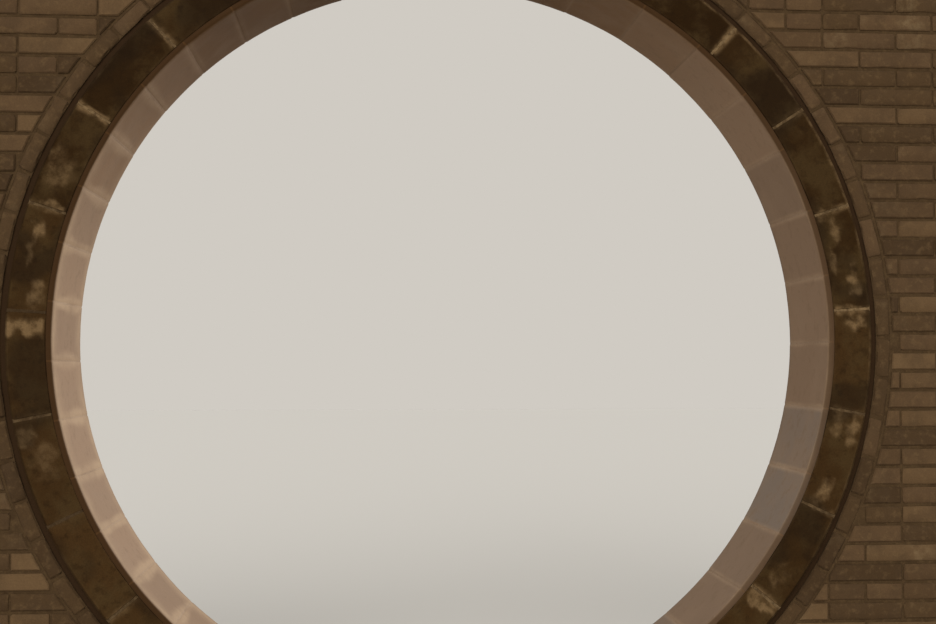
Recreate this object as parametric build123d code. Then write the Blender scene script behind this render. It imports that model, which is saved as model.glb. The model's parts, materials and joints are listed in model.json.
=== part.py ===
from build123d import *
import math
import os

# A moon gate: a free-standing length of grey brick garden wall with a round doorway.
# X runs along the wall, Y through it (the front is at -Y) and Z up. The origin is on the
# ground, under the middle of the doorway. All sizes are in millimetres.

# Brick and bonding
BRICK_LENGTH = 240.0
BRICK_WIDTH = 115.0
BRICK_HEIGHT = 53.0
BED_JOINT = 10.0
COURSE = BRICK_HEIGHT + BED_JOINT

# Wall: a brick and a half thick. The brickwork cut round the gate ends a small margin
# outside the ring of bricks, plain wall runs on at both sides and a band runs over it.
WALL_THICKNESS = BRICK_LENGTH + BED_JOINT + BRICK_WIDTH
GATE_ZONE_MARGIN = 32.0
PLAIN_WALL_LENGTH = 1500.0
BAND_HEIGHT = 405.0

# Granite plinth under the wall
PLINTH_COURSES = 5
PLINTH_HEIGHT = PLINTH_COURSES * COURSE
PLINTH_PROJECTION = 20.0
PLINTH_CHAMFER = 12.0
PLINTH_JOINT = 5.0
PLINTH_BLOCKS_PER_SIDE = 3
CRADLE_LENGTH = 1200.0

# Round opening and its lining slabs
OPENING_RADIUS = 1250.0
CRADLE_BED_THICKNESS = 92.0
LINING_THICKNESS = 20.0
LINING_DEPTH = 410.0
LINING_ARRIS = 6.0
LINING_JOINT = 5.0
LINING_FIRST_JOINT = 89.3
RIGHT_LINING_SLAB_COUNT = 18
LEFT_LINING_SLAB_COUNT = 21

# Face ring of stones, front and back
RING_STONE_WIDTH = 125.0
RING_STONE_THICKNESS = 110.0
RING_STONE_PROUD = 30.5
RING_STONE_COUNT = 25
RING_FIRST_JOINT = 90.3
RING_JOINT = 8.0
RING_ARRIS = 7.0

# Recessed mortar joint round the stones, then one ring of bricks on edge
RING_GROOVE_WIDTH = 20.0
RING_GROOVE_DEPTH = 12.0
BRICK_RING_ARC_COUNT = 17
BRICK_RING_JOINT = 10.0

# Eaves courses under the tiles
CORBEL_HEIGHT = 60.0
LOWER_CORBEL_PROJECTION = 30.0
UPPER_CORBEL_PROJECTION = 95.0
SAWTOOTH_HEIGHT = 55.0
SAWTOOTH_PROJECTION = 52.0
SAWTOOTH_BASE = 110.0
SAWTOOTH_SPACING = 200.0

# Tiled coping
ROOF_SLOPE = 30.0
BED_EDGE = 20.0
EAVES_OVERHANG = 75.0
RIDGE_WIDTH = 120.0
BARREL_DIAMETER = 130.0
BARREL_SIDE = 20.0
BARREL_SPACING = 280.0
DISC_THICKNESS = 14.0
PAN_CLEARANCE = 0.2
PAN_EDGE = 30.0
PAN_MIDDLE = 16.0
LIP_THICKNESS = 12.0
LIP_SHOULDER = 10.0
LIP_DROP = 55.0

# Ridge
RIDGE_HEIGHT = 174.0
RIDGE_SHELF_PROJECTION = 20.0
RIDGE_SHELF_BOTTOM = 119.0
RIDGE_SHELF_HEIGHT = 25.0
RIDGE_CAP_RADIUS = 65.0

# Sizes that follow from the ones above
LINING_OUTER = OPENING_RADIUS + LINING_THICKNESS
RING_OUTER = LINING_OUTER + RING_STONE_WIDTH
BRICK_RING_INNER = RING_OUTER + RING_GROOVE_WIDTH
BRICK_RING_OUTER = BRICK_RING_INNER + BRICK_HEIGHT
OPENING_CENTRE_HEIGHT = CRADLE_BED_THICKNESS + BRICK_RING_OUTER
HALF_ZONE = BRICK_RING_OUTER + GATE_ZONE_MARGIN
GATE_ZONE_TOP = OPENING_CENTRE_HEIGHT + HALF_ZONE
HALF_LENGTH = HALF_ZONE + PLAIN_WALL_LENGTH
WALL_LENGTH = 2 * HALF_LENGTH
WALL_TOP = GATE_ZONE_TOP + BAND_HEIGHT
HALF_WALL = WALL_THICKNESS / 2
HALF_PLINTH = HALF_WALL + PLINTH_PROJECTION
HALF_CRADLE = CRADLE_LENGTH / 2
RING_FACE = HALF_WALL + RING_STONE_PROUD
RING_BACK = RING_FACE - RING_STONE_THICKNESS
SAWTOOTH_BOTTOM = WALL_TOP + CORBEL_HEIGHT
UPPER_CORBEL_BOTTOM = SAWTOOTH_BOTTOM + SAWTOOTH_HEIGHT
ROOF_BED_BOTTOM = UPPER_CORBEL_BOTTOM + CORBEL_HEIGHT
SAWTOOTH_COUNT = round(WALL_LENGTH / SAWTOOTH_SPACING)
EAVES_DEPTH = HALF_WALL + UPPER_CORBEL_PROJECTION
EAVES_HEIGHT = ROOF_BED_BOTTOM + BED_EDGE
HALF_RIDGE = RIDGE_WIDTH / 2
SLOPE_RUN = EAVES_DEPTH - HALF_RIDGE
SLOPE_SIN = math.sin(math.radians(ROOF_SLOPE))
SLOPE_COS = math.cos(math.radians(ROOF_SLOPE))
RIDGE_BOTTOM = EAVES_HEIGHT + SLOPE_RUN * SLOPE_SIN / SLOPE_COS
BARREL_RADIUS = BARREL_DIAMETER / 2
BARREL_ROW_COUNT = round((WALL_LENGTH - BARREL_DIAMETER) / BARREL_SPACING) + 1
BARREL_PITCH = (WALL_LENGTH - BARREL_DIAMETER) / (BARREL_ROW_COUNT - 1)
PAN_HALF_WIDTH = (BARREL_PITCH - BARREL_DIAMETER) / 2 - PAN_CLEARANCE

GATE_AXIS = Axis((0, 0, 0), (0, -1, 0))
GATE_CENTRE = Location((0, 0, OPENING_CENTRE_HEIGHT))


def slab(x_low, x_high, y_half, z_low, z_high):
    """A plain block between two X and two Z limits, centred on the wall's middle plane."""
    block = Box(x_high - x_low, 2 * y_half, z_high - z_low)
    return block.moved(Location(((x_low + x_high) / 2, 0, (z_low + z_high) / 2)))


def gate_cylinder(radius):
    """The space inside a radius round the doorway's axis, longer than the wall is thick."""
    through = 4 * WALL_THICKNESS
    return Cylinder(radius, through, rotation=(90, 0, 0)).moved(GATE_CENTRE)


def both_faces(front):
    """A front piece and its mirror image on the back of the wall."""
    return front, mirror(front, Plane.XZ)


def arc_piece(section, joint_width, joint_radius, start, pitch):
    """One stone of a ring: a section (radius, depth) turned about the doorway's axis.

    The piece starts half a joint after the angle start, in degrees counter-clockwise from
    +X as seen from the front, and ends half a joint before start + pitch.
    """
    joint_angle = math.degrees(joint_width / joint_radius)
    piece = revolve(section, GATE_AXIS, pitch - joint_angle)
    return piece.rotate(GATE_AXIS, start + joint_angle / 2).moved(GATE_CENTRE)


def lining_slabs():
    """Slabs that line the doorway, laid from a first joint by the crown down both sides."""
    edge = LINING_DEPTH / 2
    section = make_face(Polyline(
        (OPENING_RADIUS, -edge),
        (LINING_OUTER, -edge),
        (LINING_OUTER, edge),
        (OPENING_RADIUS, edge),
        close=True,
    ))
    arris = section.vertices().sort_by(Axis.X)[:2]
    section = chamfer(arris, LINING_ARRIS)
    slabs = []
    for count, turn in ((LEFT_LINING_SLAB_COUNT, 1), (RIGHT_LINING_SLAB_COUNT, -1)):
        pitch = 180 / count
        for index in range(count):
            first = index if turn > 0 else -(index + 1)
            start = LINING_FIRST_JOINT + first * pitch
            slabs.append(arc_piece(section, LINING_JOINT, OPENING_RADIUS, start, pitch))
    return slabs


def ring_stones():
    """Stones of the front face ring, with the outer front arris bevelled."""
    section = make_face(Polyline(
        (LINING_OUTER, -RING_FACE),
        (RING_OUTER, -RING_FACE),
        (RING_OUTER, -RING_BACK),
        (LINING_OUTER, -RING_BACK),
        close=True,
    ))
    arris = section.vertices().group_by(Axis.Y)[0].sort_by(Axis.X)[-1]
    section = chamfer(arris, RING_ARRIS)
    pitch = 360 / RING_STONE_COUNT
    starts = [RING_FIRST_JOINT + index * pitch for index in range(RING_STONE_COUNT)]
    return [arc_piece(section, RING_JOINT, RING_OUTER, start, pitch) for start in starts]


def brick_ring():
    """The ring of bricks on edge round the stones, through the wall, in equal arcs."""
    section = make_face(Polyline(
        (BRICK_RING_INNER, -HALF_WALL),
        (BRICK_RING_OUTER, -HALF_WALL),
        (BRICK_RING_OUTER, HALF_WALL),
        (BRICK_RING_INNER, HALF_WALL),
        close=True,
    ))
    pitch = 360 / BRICK_RING_ARC_COUNT
    starts = [index * pitch for index in range(BRICK_RING_ARC_COUNT)]
    return [arc_piece(section, BRICK_RING_JOINT, BRICK_RING_OUTER, start, pitch) for start in starts]


def ring_backing():
    """Brick and mortar behind the face stones, with the bed of the recessed joint."""
    groove_floor = HALF_WALL - RING_GROOVE_DEPTH
    section = make_face(Polyline(
        (LINING_OUTER, -RING_BACK),
        (RING_OUTER, -RING_BACK),
        (RING_OUTER, -groove_floor),
        (BRICK_RING_INNER, -groove_floor),
        (BRICK_RING_INNER, groove_floor),
        (RING_OUTER, groove_floor),
        (RING_OUTER, RING_BACK),
        (LINING_OUTER, RING_BACK),
        close=True,
    ))
    pitch = 360 / BRICK_RING_ARC_COUNT
    starts = [index * pitch for index in range(BRICK_RING_ARC_COUNT)]
    return [arc_piece(section, BRICK_RING_JOINT, BRICK_RING_OUTER, start, pitch) for start in starts]


def plinth_side(side):
    """Granite blocks of the plinth from the cradle stone to the end of the wall.

    side is -1 on the left and 1 on the right. The block next to the doorway is cut round
    the ring of bricks.
    """
    length = (HALF_LENGTH - HALF_CRADLE) / PLINTH_BLOCKS_PER_SIDE
    blocks = []
    for index in range(PLINTH_BLOCKS_PER_SIDE):
        near = HALF_CRADLE + index * length + PLINTH_JOINT
        far = HALF_CRADLE + (index + 1) * length
        low, high = sorted((side * near, side * far))
        block = slab(low, high, HALF_PLINTH, 0, PLINTH_HEIGHT)
        top_edges = block.edges().filter_by(Axis.X).group_by(Axis.Z)[-1]
        block = chamfer(top_edges, PLINTH_CHAMFER)
        blocks.append(block - gate_cylinder(BRICK_RING_OUTER))
    return blocks


def cradle_stone():
    """The stone under the doorway, hollowed to carry the ring of bricks."""
    block = slab(-HALF_CRADLE, HALF_CRADLE, HALF_PLINTH, 0, PLINTH_HEIGHT)
    return block - gate_cylinder(BRICK_RING_OUTER)


def spandrel(side, z_low, z_high):
    """Brickwork between the ring of bricks and the plain wall, one quarter of the gate."""
    low, high = sorted((0, side * HALF_ZONE))
    return slab(low, high, HALF_WALL, z_low, z_high) - gate_cylinder(BRICK_RING_OUTER)


def sawtooth_course():
    """A course of bricks set cornerwise, whose corners stand out as teeth on both faces."""
    flat = HALF_WALL + LOWER_CORBEL_PROJECTION
    tip = flat + SAWTOOTH_PROJECTION
    pitch = WALL_LENGTH / SAWTOOTH_COUNT
    course = slab(-HALF_LENGTH, HALF_LENGTH, flat, SAWTOOTH_BOTTOM, UPPER_CORBEL_BOTTOM)
    tooth = make_face(Polyline(
        (-SAWTOOTH_BASE / 2, flat),
        (0, tip),
        (SAWTOOTH_BASE / 2, flat),
        (SAWTOOTH_BASE / 2, -flat),
        (0, -tip),
        (-SAWTOOTH_BASE / 2, -flat),
        close=True,
    ))
    tooth = extrude(tooth, SAWTOOTH_HEIGHT)
    teeth = []
    for index in range(SAWTOOTH_COUNT):
        middle = -HALF_LENGTH + (index + 0.5) * pitch
        teeth.append(tooth.moved(Location((middle, 0, SAWTOOTH_BOTTOM))))
    return course + teeth


def roof_bed():
    """The mortar and brick bed under the tiles, shaped like a low gable roof."""
    section = make_face(Plane.YZ * Polyline(
        (-EAVES_DEPTH, ROOF_BED_BOTTOM),
        (EAVES_DEPTH, ROOF_BED_BOTTOM),
        (EAVES_DEPTH, EAVES_HEIGHT),
        (HALF_RIDGE, RIDGE_BOTTOM),
        (-HALF_RIDGE, RIDGE_BOTTOM),
        (-EAVES_DEPTH, EAVES_HEIGHT),
        close=True,
    ))
    return extrude(section, HALF_LENGTH, both=True)


def row_plane(x_middle):
    """Where a row of tiles starts at the front eaves: +Z up the slope, +Y off the bed."""
    origin = (
        x_middle,
        -EAVES_DEPTH - EAVES_OVERHANG * SLOPE_COS,
        EAVES_HEIGHT - EAVES_OVERHANG * SLOPE_SIN,
    )
    return Plane(origin=origin, x_dir=(-1, 0, 0), z_dir=(0, SLOPE_COS, SLOPE_SIN))


def cut_at_ridge(row):
    """The part of a row of tiles in front of the ridge's face."""
    face = Plane(origin=(0, -HALF_RIDGE, 0), z_dir=(0, -1, 0))
    return split(row, bisect_by=face, keep=Keep.TOP)


def barrel_row(x_middle):
    """One row of half-round cover tiles with a round end tile at the eaves."""
    plane = row_plane(x_middle)
    outline = make_face([
        Line((-BARREL_RADIUS, 0), (BARREL_RADIUS, 0)),
        Line((BARREL_RADIUS, 0), (BARREL_RADIUS, BARREL_SIDE)),
        ThreePointArc(
            (BARREL_RADIUS, BARREL_SIDE),
            (0, BARREL_SIDE + BARREL_RADIUS),
            (-BARREL_RADIUS, BARREL_SIDE),
        ),
        Line((-BARREL_RADIUS, BARREL_SIDE), (-BARREL_RADIUS, 0)),
    ])
    length = 2 * SLOPE_RUN
    cover = extrude(plane * outline, length)
    disc = extrude(plane * Pos(0, BARREL_SIDE) * Circle(BARREL_RADIUS), -DISC_THICKNESS)
    return cut_at_ridge(cover) + disc


def pan_row(x_middle):
    """One row of channel tiles between two cover rows, with its drip lip at the eaves."""
    plane = row_plane(x_middle)
    half = PAN_HALF_WIDTH
    channel = make_face([
        Line((-half, 0), (half, 0)),
        Line((half, 0), (half, PAN_EDGE)),
        ThreePointArc((half, PAN_EDGE), (0, PAN_MIDDLE), (-half, PAN_EDGE)),
        Line((-half, PAN_EDGE), (-half, 0)),
    ])
    lip = make_face([
        ThreePointArc((half, PAN_EDGE), (0, PAN_MIDDLE), (-half, PAN_EDGE)),
        Line((-half, PAN_EDGE), (-half, -LIP_SHOULDER)),
        RadiusArc((-half, -LIP_SHOULDER), (0, -LIP_DROP), 1.5 * half),
        RadiusArc((0, -LIP_DROP), (half, -LIP_SHOULDER), 1.5 * half),
        Line((half, -LIP_SHOULDER), (half, PAN_EDGE)),
    ])
    length = 2 * SLOPE_RUN
    row = cut_at_ridge(extrude(plane * channel, length))
    return row + extrude(plane * lip, -LIP_THICKNESS)


def ridge_wall():
    """The upright ridge with a narrow shelf course below its cap."""
    shelf = HALF_RIDGE + RIDGE_SHELF_PROJECTION
    shelf_low = RIDGE_BOTTOM + RIDGE_SHELF_BOTTOM
    shelf_high = shelf_low + RIDGE_SHELF_HEIGHT
    body = slab(-HALF_LENGTH, HALF_LENGTH, HALF_RIDGE, RIDGE_BOTTOM, RIDGE_BOTTOM + RIDGE_HEIGHT)
    return body + slab(-HALF_LENGTH, HALF_LENGTH, shelf, shelf_low, shelf_high)


def ridge_cap():
    """Half-round cap tiles along the top of the ridge."""
    base = RIDGE_BOTTOM + RIDGE_HEIGHT
    section = make_face([
        Line((-RIDGE_CAP_RADIUS, base), (RIDGE_CAP_RADIUS, base)),
        ThreePointArc(
            (RIDGE_CAP_RADIUS, base),
            (0, base + RIDGE_CAP_RADIUS),
            (-RIDGE_CAP_RADIUS, base),
        ),
    ])
    return extrude(Plane.YZ * section, HALF_LENGTH, both=True)


def spaced_rows(make_row, count):
    """Rows of tiles centred on the wall, one barrel pitch apart."""
    first = -(count - 1) / 2 * BARREL_PITCH
    return [make_row(first + index * BARREL_PITCH) for index in range(count)]


def save(name, pieces):
    """Writes one node's solids to its STEP file."""
    solids = pieces if isinstance(pieces, list) else [pieces]
    shape = Compound(children=[solid for piece in solids for solid in piece.solids()])
    export_step(shape, f"parts/{name}.step")


def main():
    os.makedirs("parts", exist_ok=True)
    middle = OPENING_CENTRE_HEIGHT
    save("brick_wall_left", slab(-HALF_LENGTH, -HALF_ZONE, HALF_WALL, PLINTH_HEIGHT, WALL_TOP))
    save("brick_wall_right", slab(HALF_ZONE, HALF_LENGTH, HALF_WALL, PLINTH_HEIGHT, WALL_TOP))
    save("brick_band_over_gate", slab(-HALF_ZONE, HALF_ZONE, HALF_WALL, GATE_ZONE_TOP, WALL_TOP))
    for name, side in (("left", -1), ("right", 1)):
        save(f"spandrel_upper_{name}", spandrel(side, middle, GATE_ZONE_TOP))
        save(f"spandrel_lower_{name}", spandrel(side, PLINTH_HEIGHT, middle))
        save(f"plinth_{name}", plinth_side(side))
    save("cradle_stone", cradle_stone())
    save("lining_slabs", lining_slabs())
    save("brick_ring", brick_ring())
    save("ring_backing", ring_backing())

    lower = HALF_WALL + LOWER_CORBEL_PROJECTION
    save("lower_corbel", slab(-HALF_LENGTH, HALF_LENGTH, lower, WALL_TOP, SAWTOOTH_BOTTOM))
    save("sawtooth_course", sawtooth_course())
    upper = slab(-HALF_LENGTH, HALF_LENGTH, EAVES_DEPTH, UPPER_CORBEL_BOTTOM, ROOF_BED_BOTTOM)
    save("upper_corbel", upper)
    save("roof_bed", roof_bed())
    save("ridge_wall", ridge_wall())
    save("ridge_cap", ridge_cap())

    front_sets = {
        "ring_stones": ring_stones(),
        "barrel_tiles": spaced_rows(barrel_row, BARREL_ROW_COUNT),
        "pan_tiles": spaced_rows(pan_row, BARREL_ROW_COUNT - 1),
    }
    for name, pieces in front_sets.items():
        pairs = [both_faces(piece) for piece in pieces]
        save(f"{name}_front", [front for front, back in pairs])
        save(f"{name}_back", [back for front, back in pairs])


main()
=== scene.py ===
"""Looks of the moon gate: brickwork, stone ring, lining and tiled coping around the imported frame."""
import json
import logging
import math
import random
from dataclasses import dataclass, field
from enum import Enum
from itertools import product
from typing import Any, Callable, Iterator, Optional, Sequence

import bpy
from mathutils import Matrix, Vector, noise

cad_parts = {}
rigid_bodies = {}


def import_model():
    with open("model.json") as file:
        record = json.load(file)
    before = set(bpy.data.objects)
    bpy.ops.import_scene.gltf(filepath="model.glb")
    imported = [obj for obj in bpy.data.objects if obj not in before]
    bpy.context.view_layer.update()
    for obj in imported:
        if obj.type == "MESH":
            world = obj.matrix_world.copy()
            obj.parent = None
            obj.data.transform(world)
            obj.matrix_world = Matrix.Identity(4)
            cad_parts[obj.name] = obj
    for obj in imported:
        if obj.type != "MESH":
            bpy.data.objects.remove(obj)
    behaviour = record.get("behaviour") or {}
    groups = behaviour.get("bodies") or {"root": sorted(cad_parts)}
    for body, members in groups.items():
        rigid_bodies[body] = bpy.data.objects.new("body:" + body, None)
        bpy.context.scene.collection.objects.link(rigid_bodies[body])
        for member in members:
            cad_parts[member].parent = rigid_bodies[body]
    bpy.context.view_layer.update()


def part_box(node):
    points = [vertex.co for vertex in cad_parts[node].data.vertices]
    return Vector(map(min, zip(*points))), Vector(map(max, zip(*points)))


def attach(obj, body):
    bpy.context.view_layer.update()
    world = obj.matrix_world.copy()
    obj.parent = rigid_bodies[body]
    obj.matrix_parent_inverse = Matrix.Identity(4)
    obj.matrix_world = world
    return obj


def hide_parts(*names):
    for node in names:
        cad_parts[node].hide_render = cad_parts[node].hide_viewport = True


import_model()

log = logging.getLogger("moon_gate")

MM = 0.001
BODY = "root"
SMOOTH_ANGLE = math.radians(38.0)

Point = tuple[float, float, float]
Flat = tuple[float, float]


class WallFace(Enum):
    """The two long faces of the wall; the value is the sign of Y on that face."""

    FRONT = -1
    BACK = 1

    @property
    def turn(self) -> float:
        """Turn about Z that carries a piece made for the front to this face."""
        return 0.0 if self is WallFace.FRONT else math.pi

    def place(self, point: Point) -> Point:
        """A point made for the front face, carried to this face."""
        sign = -self.value
        return point[0] * sign, point[1] * sign, point[2]


class Side(Enum):
    """The two sides of the doorway; the value is the sign of X on that side."""

    LEFT = -1
    RIGHT = 1


@dataclass(frozen=True)
class GateSizes:
    """Sizes that several pieces share, in metres.

    The wall's own sizes come from the frame. The radii are the driving sizes of the round
    doorway, from its clear opening outwards.
    """

    half_length: float
    half_wall: float
    wall_bottom: float
    wall_top: float
    centre: float
    opening_radius: float = 1.250
    lining_outer: float = 1.270
    stone_outer: float = 1.395
    groove_outer: float = 1.420
    bricks_outer: float = 1.468
    lining_edge: float = 0.205
    stone_face: float = 0.213
    stone_back: float = 0.103

    @classmethod
    def from_frame(cls) -> "GateSizes":
        """Reads the wall's sizes from the boxes of its nodes.

        Returns:
            The sizes.
        """
        wall_low, wall_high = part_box("brick_wall_right")
        upper_low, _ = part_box("spandrel_upper_right")
        return cls(wall_high.x, wall_high.y, wall_low.z, wall_high.z, centre=upper_low.z)

    def on_ring(self, angle: float, radius: float, depth: float) -> Point:
        """The point at an angle and radius round the doorway's axis, at a depth in Y."""
        return radius * math.cos(angle), depth, self.centre + radius * math.sin(angle)

    def at_radius(self, place: Point, radius: float) -> Point:
        """Moves a point straight out from the doorway's axis, or in towards it.

        Args:
            place: The point.
            radius: Its new distance from the axis.

        Returns:
            The point at that radius, at the same angle and depth.
        """
        middle = Vector((0.0, 0.0, self.centre))
        out = (Vector((place[0], 0.0, place[2])) - middle).normalized() * radius + middle
        return out.x, place[1], out.z


def clamp(value: float) -> float:
    """The value, held between 0 and 1."""
    return min(1.0, max(0.0, value))


def steps(low: float, high: float, count: int) -> list[float]:
    """Values from low to high, a number of equal steps apart."""
    return [low + (high - low) * index / count for index in range(count + 1)]


def edged_steps(low: float, high: float, edge: float, count: int) -> list[float]:
    """Values from low to high, with a narrow step at both ends for a worn edge."""
    return [low, *steps(low + edge, high - edge, count), high]


def waver(x: float, y: float, z: float) -> float:
    """Smooth noise at a place, between -1 and 1."""
    return noise.noise(Vector((x, y, z)))


def linear(hex_colour: str) -> tuple[float, float, float, float]:
    """Turns a colour to linear light.

    Args:
        hex_colour: The colour as sRGB hex.

    Returns:
        The linear red, green and blue, with full alpha.
    """
    values = [int(hex_colour[start:start + 2], 16) / 255 for start in (1, 3, 5)]
    light = [v / 12.92 if v <= 0.04045 else ((v + 0.055) / 1.055) ** 2.4 for v in values]
    return light[0], light[1], light[2], 1.0


def repeats(size_mm: float) -> float:
    """A texture's scale, from the size in millimetres of what it repeats."""
    return 1000.0 / size_mm


def add_node(tree: Any, kind: str, inputs: Optional[dict] = None, **settings: Any) -> Any:
    """Adds a node with its settings, and fills or links its inputs.

    Args:
        tree: The node tree.
        kind: The node's type name.
        inputs: What each input takes, by the input's name or index: a value, a hex colour,
            a socket, or a node for the first of its outputs in use.
        settings: The node's own properties. The stops of a colour ramp are given as
            pairs of position and hex colour.

    Returns:
        The new node.
    """
    node = tree.nodes.new(kind)
    stops = settings.pop("stops", ())
    for name, value in settings.items():
        setattr(node, name, value)
    for index, (position, colour) in enumerate(stops):
        ramp = node.color_ramp.elements
        element = ramp[index] if index < len(ramp) else ramp.new(1.0)
        element.position = position
        element.color = linear(colour)
    for key, value in (inputs or {}).items():
        if isinstance(key, int):
            target = node.inputs[key]
        else:
            target = next(item for item in node.inputs if item.name == key and item.enabled)
        if isinstance(value, bpy.types.Node):
            value = next(item for item in value.outputs if item.enabled)
        if isinstance(value, bpy.types.NodeSocket):
            tree.links.new(value, target)
        elif isinstance(value, str) and value.startswith("#"):
            target.default_value = linear(value)
        else:
            target.default_value = value
    return node


@dataclass(frozen=True)
class Finish:
    """What all finishes share: a name, and a surface that is built once.

    Pieces carry three marks on their points: tone, a shade for each brick or stone, darkened in places as
    painted shade; lime, how much lime mortar is smeared there, in places also a painted highlight; and the
    third, how much dirt has settled there or how much shade is painted there.
    """

    name: str = "finish"

    def material(self) -> bpy.types.Material:
        """Builds the material once.

        Returns:
            The material.
        """
        made = bpy.data.materials.get(self.name)
        if made is None:
            made = bpy.data.materials.new(self.name)
            made.use_nodes = True
            made.node_tree.nodes.clear()
            self.build(made.node_tree)
        return made

    def build(self, tree: Any) -> None:
        """Fills the material's node tree."""
        raise NotImplementedError


@dataclass(frozen=True)
class MattPaint(Finish):
    """One matt colour all over, for the studio's floor."""

    colour: str = "#808080"

    def build(self, tree: Any) -> None:
        """Fills the material's node tree with a plain diffuse surface."""
        surface = add_node(tree, "ShaderNodeBsdfDiffuse", {"Color": self.colour})
        add_node(tree, "ShaderNodeOutputMaterial", {"Surface": surface})


@dataclass(frozen=True)
class Patches:
    """Patches of another colour on a surface; share is how strong they are at most."""

    colour: str
    size_mm: float
    share: float


@dataclass(frozen=True)
class MineralFinish(Finish):
    """A dull mineral surface: shades by piece, mottling, grit, lime, dirt with painted shade, and fine
    relief.

    Attributes:
        tones: Hex colours from the darkest piece to the palest.
        mottle: The broad patches, and stain the small spots.
        lime_share: How far smeared lime covers, and lime_gaps how far it is broken up.
        grit_mm: Size of the grains, drawn coarser than the real ones of a millimetre or so, as
            those are too fine to show, and grit_contrast their strength.
        relief_mm: Height of the unevenness, and relief_size_mm its size across.
        gloss: Share of a smooth mineral's mirror reflection that the pores leave.
    """

    tones: tuple[str, ...] = ("#808080",)
    mottle: Patches = Patches("#808080", 80.0, 0.5)
    stain: Patches = Patches("#808080", 20.0, 0.4)
    lime: str = "#a08a6a"
    lime_share: float = 0.9
    lime_gaps: float = 1.0
    grime: str = "#2a1d10"
    grit_mm: float = 3.0
    grit_contrast: float = 0.14
    relief_mm: float = 1.2
    relief_size_mm: float = 14.0
    roughness: float = 0.9
    gloss: float = 0.2

    def build(self, tree: Any) -> None:
        """Builds the layers from the piece's tone outwards to the dirt and painted shade on it.

        Args:
            tree: The material's node tree.
        """
        place = add_node(tree, "ShaderNodeTexCoord").outputs["Object"]
        tone, lime, grime = (
            add_node(tree, "ShaderNodeAttribute", attribute_name=mark).outputs["Fac"]
            for mark in ("tone", "lime", "grime")
        )
        broad, fine, ragged, grains, hollows = (
            add_node(tree, "ShaderNodeTexNoise", {
                "Vector": place, "Scale": repeats(size_mm), "Detail": detail, "Roughness": roughness,
            })
            for size_mm, detail, roughness in (
                (self.mottle.size_mm, 4.0, 0.62), (self.stain.size_mm, 5.0, 0.65),
                (1.2 * self.stain.size_mm, 6.0, 0.62), (self.grit_mm, 3.0, 0.6),
                (self.relief_size_mm, 6.0, 0.62),
            )
        )
        uneven, grit = (
            add_node(tree, "ShaderNodeMapRange", {
                "Value": cloud, "From Min": 0.3, "From Max": 0.7, "To Min": least, "To Max": most,
            }, interpolation_type=rise)
            for cloud, least, most, rise in (
                (ragged, 1.0 - self.lime_gaps, 1.0 + 0.5 * self.lime_gaps, "SMOOTHSTEP"),
                (grains, 1.0 - self.grit_contrast, 1.0 + self.grit_contrast, "LINEAR"),
            )
        )
        lime_here = add_node(tree, "ShaderNodeMath", {0: lime, 1: uneven}, operation="MULTIPLY")
        colour = self.ground(tree, place, tone)
        for cloud, first, full, most, over in (
            (broad, 0.42, 0.66, self.mottle.share, self.mottle.colour),
            (fine, 0.50, 0.68, self.stain.share, self.stain.colour),
            (lime_here, 0.0, 0.95, self.lime_share, self.lime),
        ):
            cover = add_node(tree, "ShaderNodeMapRange", {
                "Value": cloud, "From Min": first, "From Max": full, "To Min": 0.0, "To Max": most,
            }, interpolation_type="SMOOTHSTEP")
            colour = add_node(tree, "ShaderNodeMix", {"Factor": cover, "A": colour, "B": over},
                              data_type="RGBA")
        for share, over, blend in ((1.0, grit, "MULTIPLY"), (grime, self.grime, "MIX")):
            colour = add_node(tree, "ShaderNodeMix", {"Factor": share, "A": colour, "B": over},
                              data_type="RGBA", blend_type=blend)
        heights = add_node(tree, "ShaderNodeMath", {0: grains, 1: 0.25, 2: hollows},
                           operation="MULTIPLY_ADD")
        relief = add_node(tree, "ShaderNodeBump", {
            "Strength": 0.7, "Distance": self.relief_mm * MM, "Height": heights,
        })
        shader = add_node(tree, "ShaderNodeBsdfPrincipled", {
            "Base Color": colour, "Roughness": self.roughness, "IOR": 1.5,
            "Specular IOR Level": self.gloss, "Normal": relief,
        })
        add_node(tree, "ShaderNodeOutputMaterial", {"Surface": shader})

    def ground(self, tree: Any, place: Any, tone: Any) -> Any:
        """The bare material's colour, which runs through the tones from piece to piece.

        Args:
            tree: The material's node tree.
            place: The socket that gives the place on the object; not used here.
            tone: The socket that gives the piece's shade.

        Returns:
            The node that gives the colour.
        """
        last = max(len(self.tones) - 1, 1)
        stops = [(index / last, colour) for index, colour in enumerate(self.tones)]
        return add_node(tree, "ShaderNodeValToRGB", {"Fac": tone}, stops=stops)


@dataclass(frozen=True)
class GraniteFinish(MineralFinish):
    """Granite with its crystals: dark mica, grey quartz and pale feldspar.

    Attributes:
        crystals: Hex colours of the crystals, each with the share at which it starts.
    """

    crystals: tuple[tuple[float, str], ...] = (
        (0.0, "#3a3632"), (0.16, "#6d675e"), (0.42, "#8c857a"), (0.78, "#a39b8e"),
    )
    crystal_mm: float = 4.0

    def ground(self, tree: Any, place: Any, tone: Any) -> Any:
        """Crystals of random kind, shaded a little from block to block.

        Args:
            tree: The material's node tree.
            place: The socket that gives the place on the object.
            tone: The socket that gives the block's shade.

        Returns:
            The node that mixes both.
        """
        cells = add_node(tree, "ShaderNodeTexVoronoi", {
            "Vector": place, "Scale": repeats(self.crystal_mm), "Randomness": 1.0,
        })
        kind = add_node(tree, "ShaderNodeSeparateColor", {"Color": cells.outputs["Color"]})
        grains = add_node(tree, "ShaderNodeValToRGB", {"Fac": kind.outputs["Red"]}, stops=self.crystals)
        blocks = super().ground(tree, place, tone)
        return add_node(tree, "ShaderNodeMix", {"Factor": 0.5, "A": blocks, "B": grains},
                        data_type="RGBA")
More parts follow.
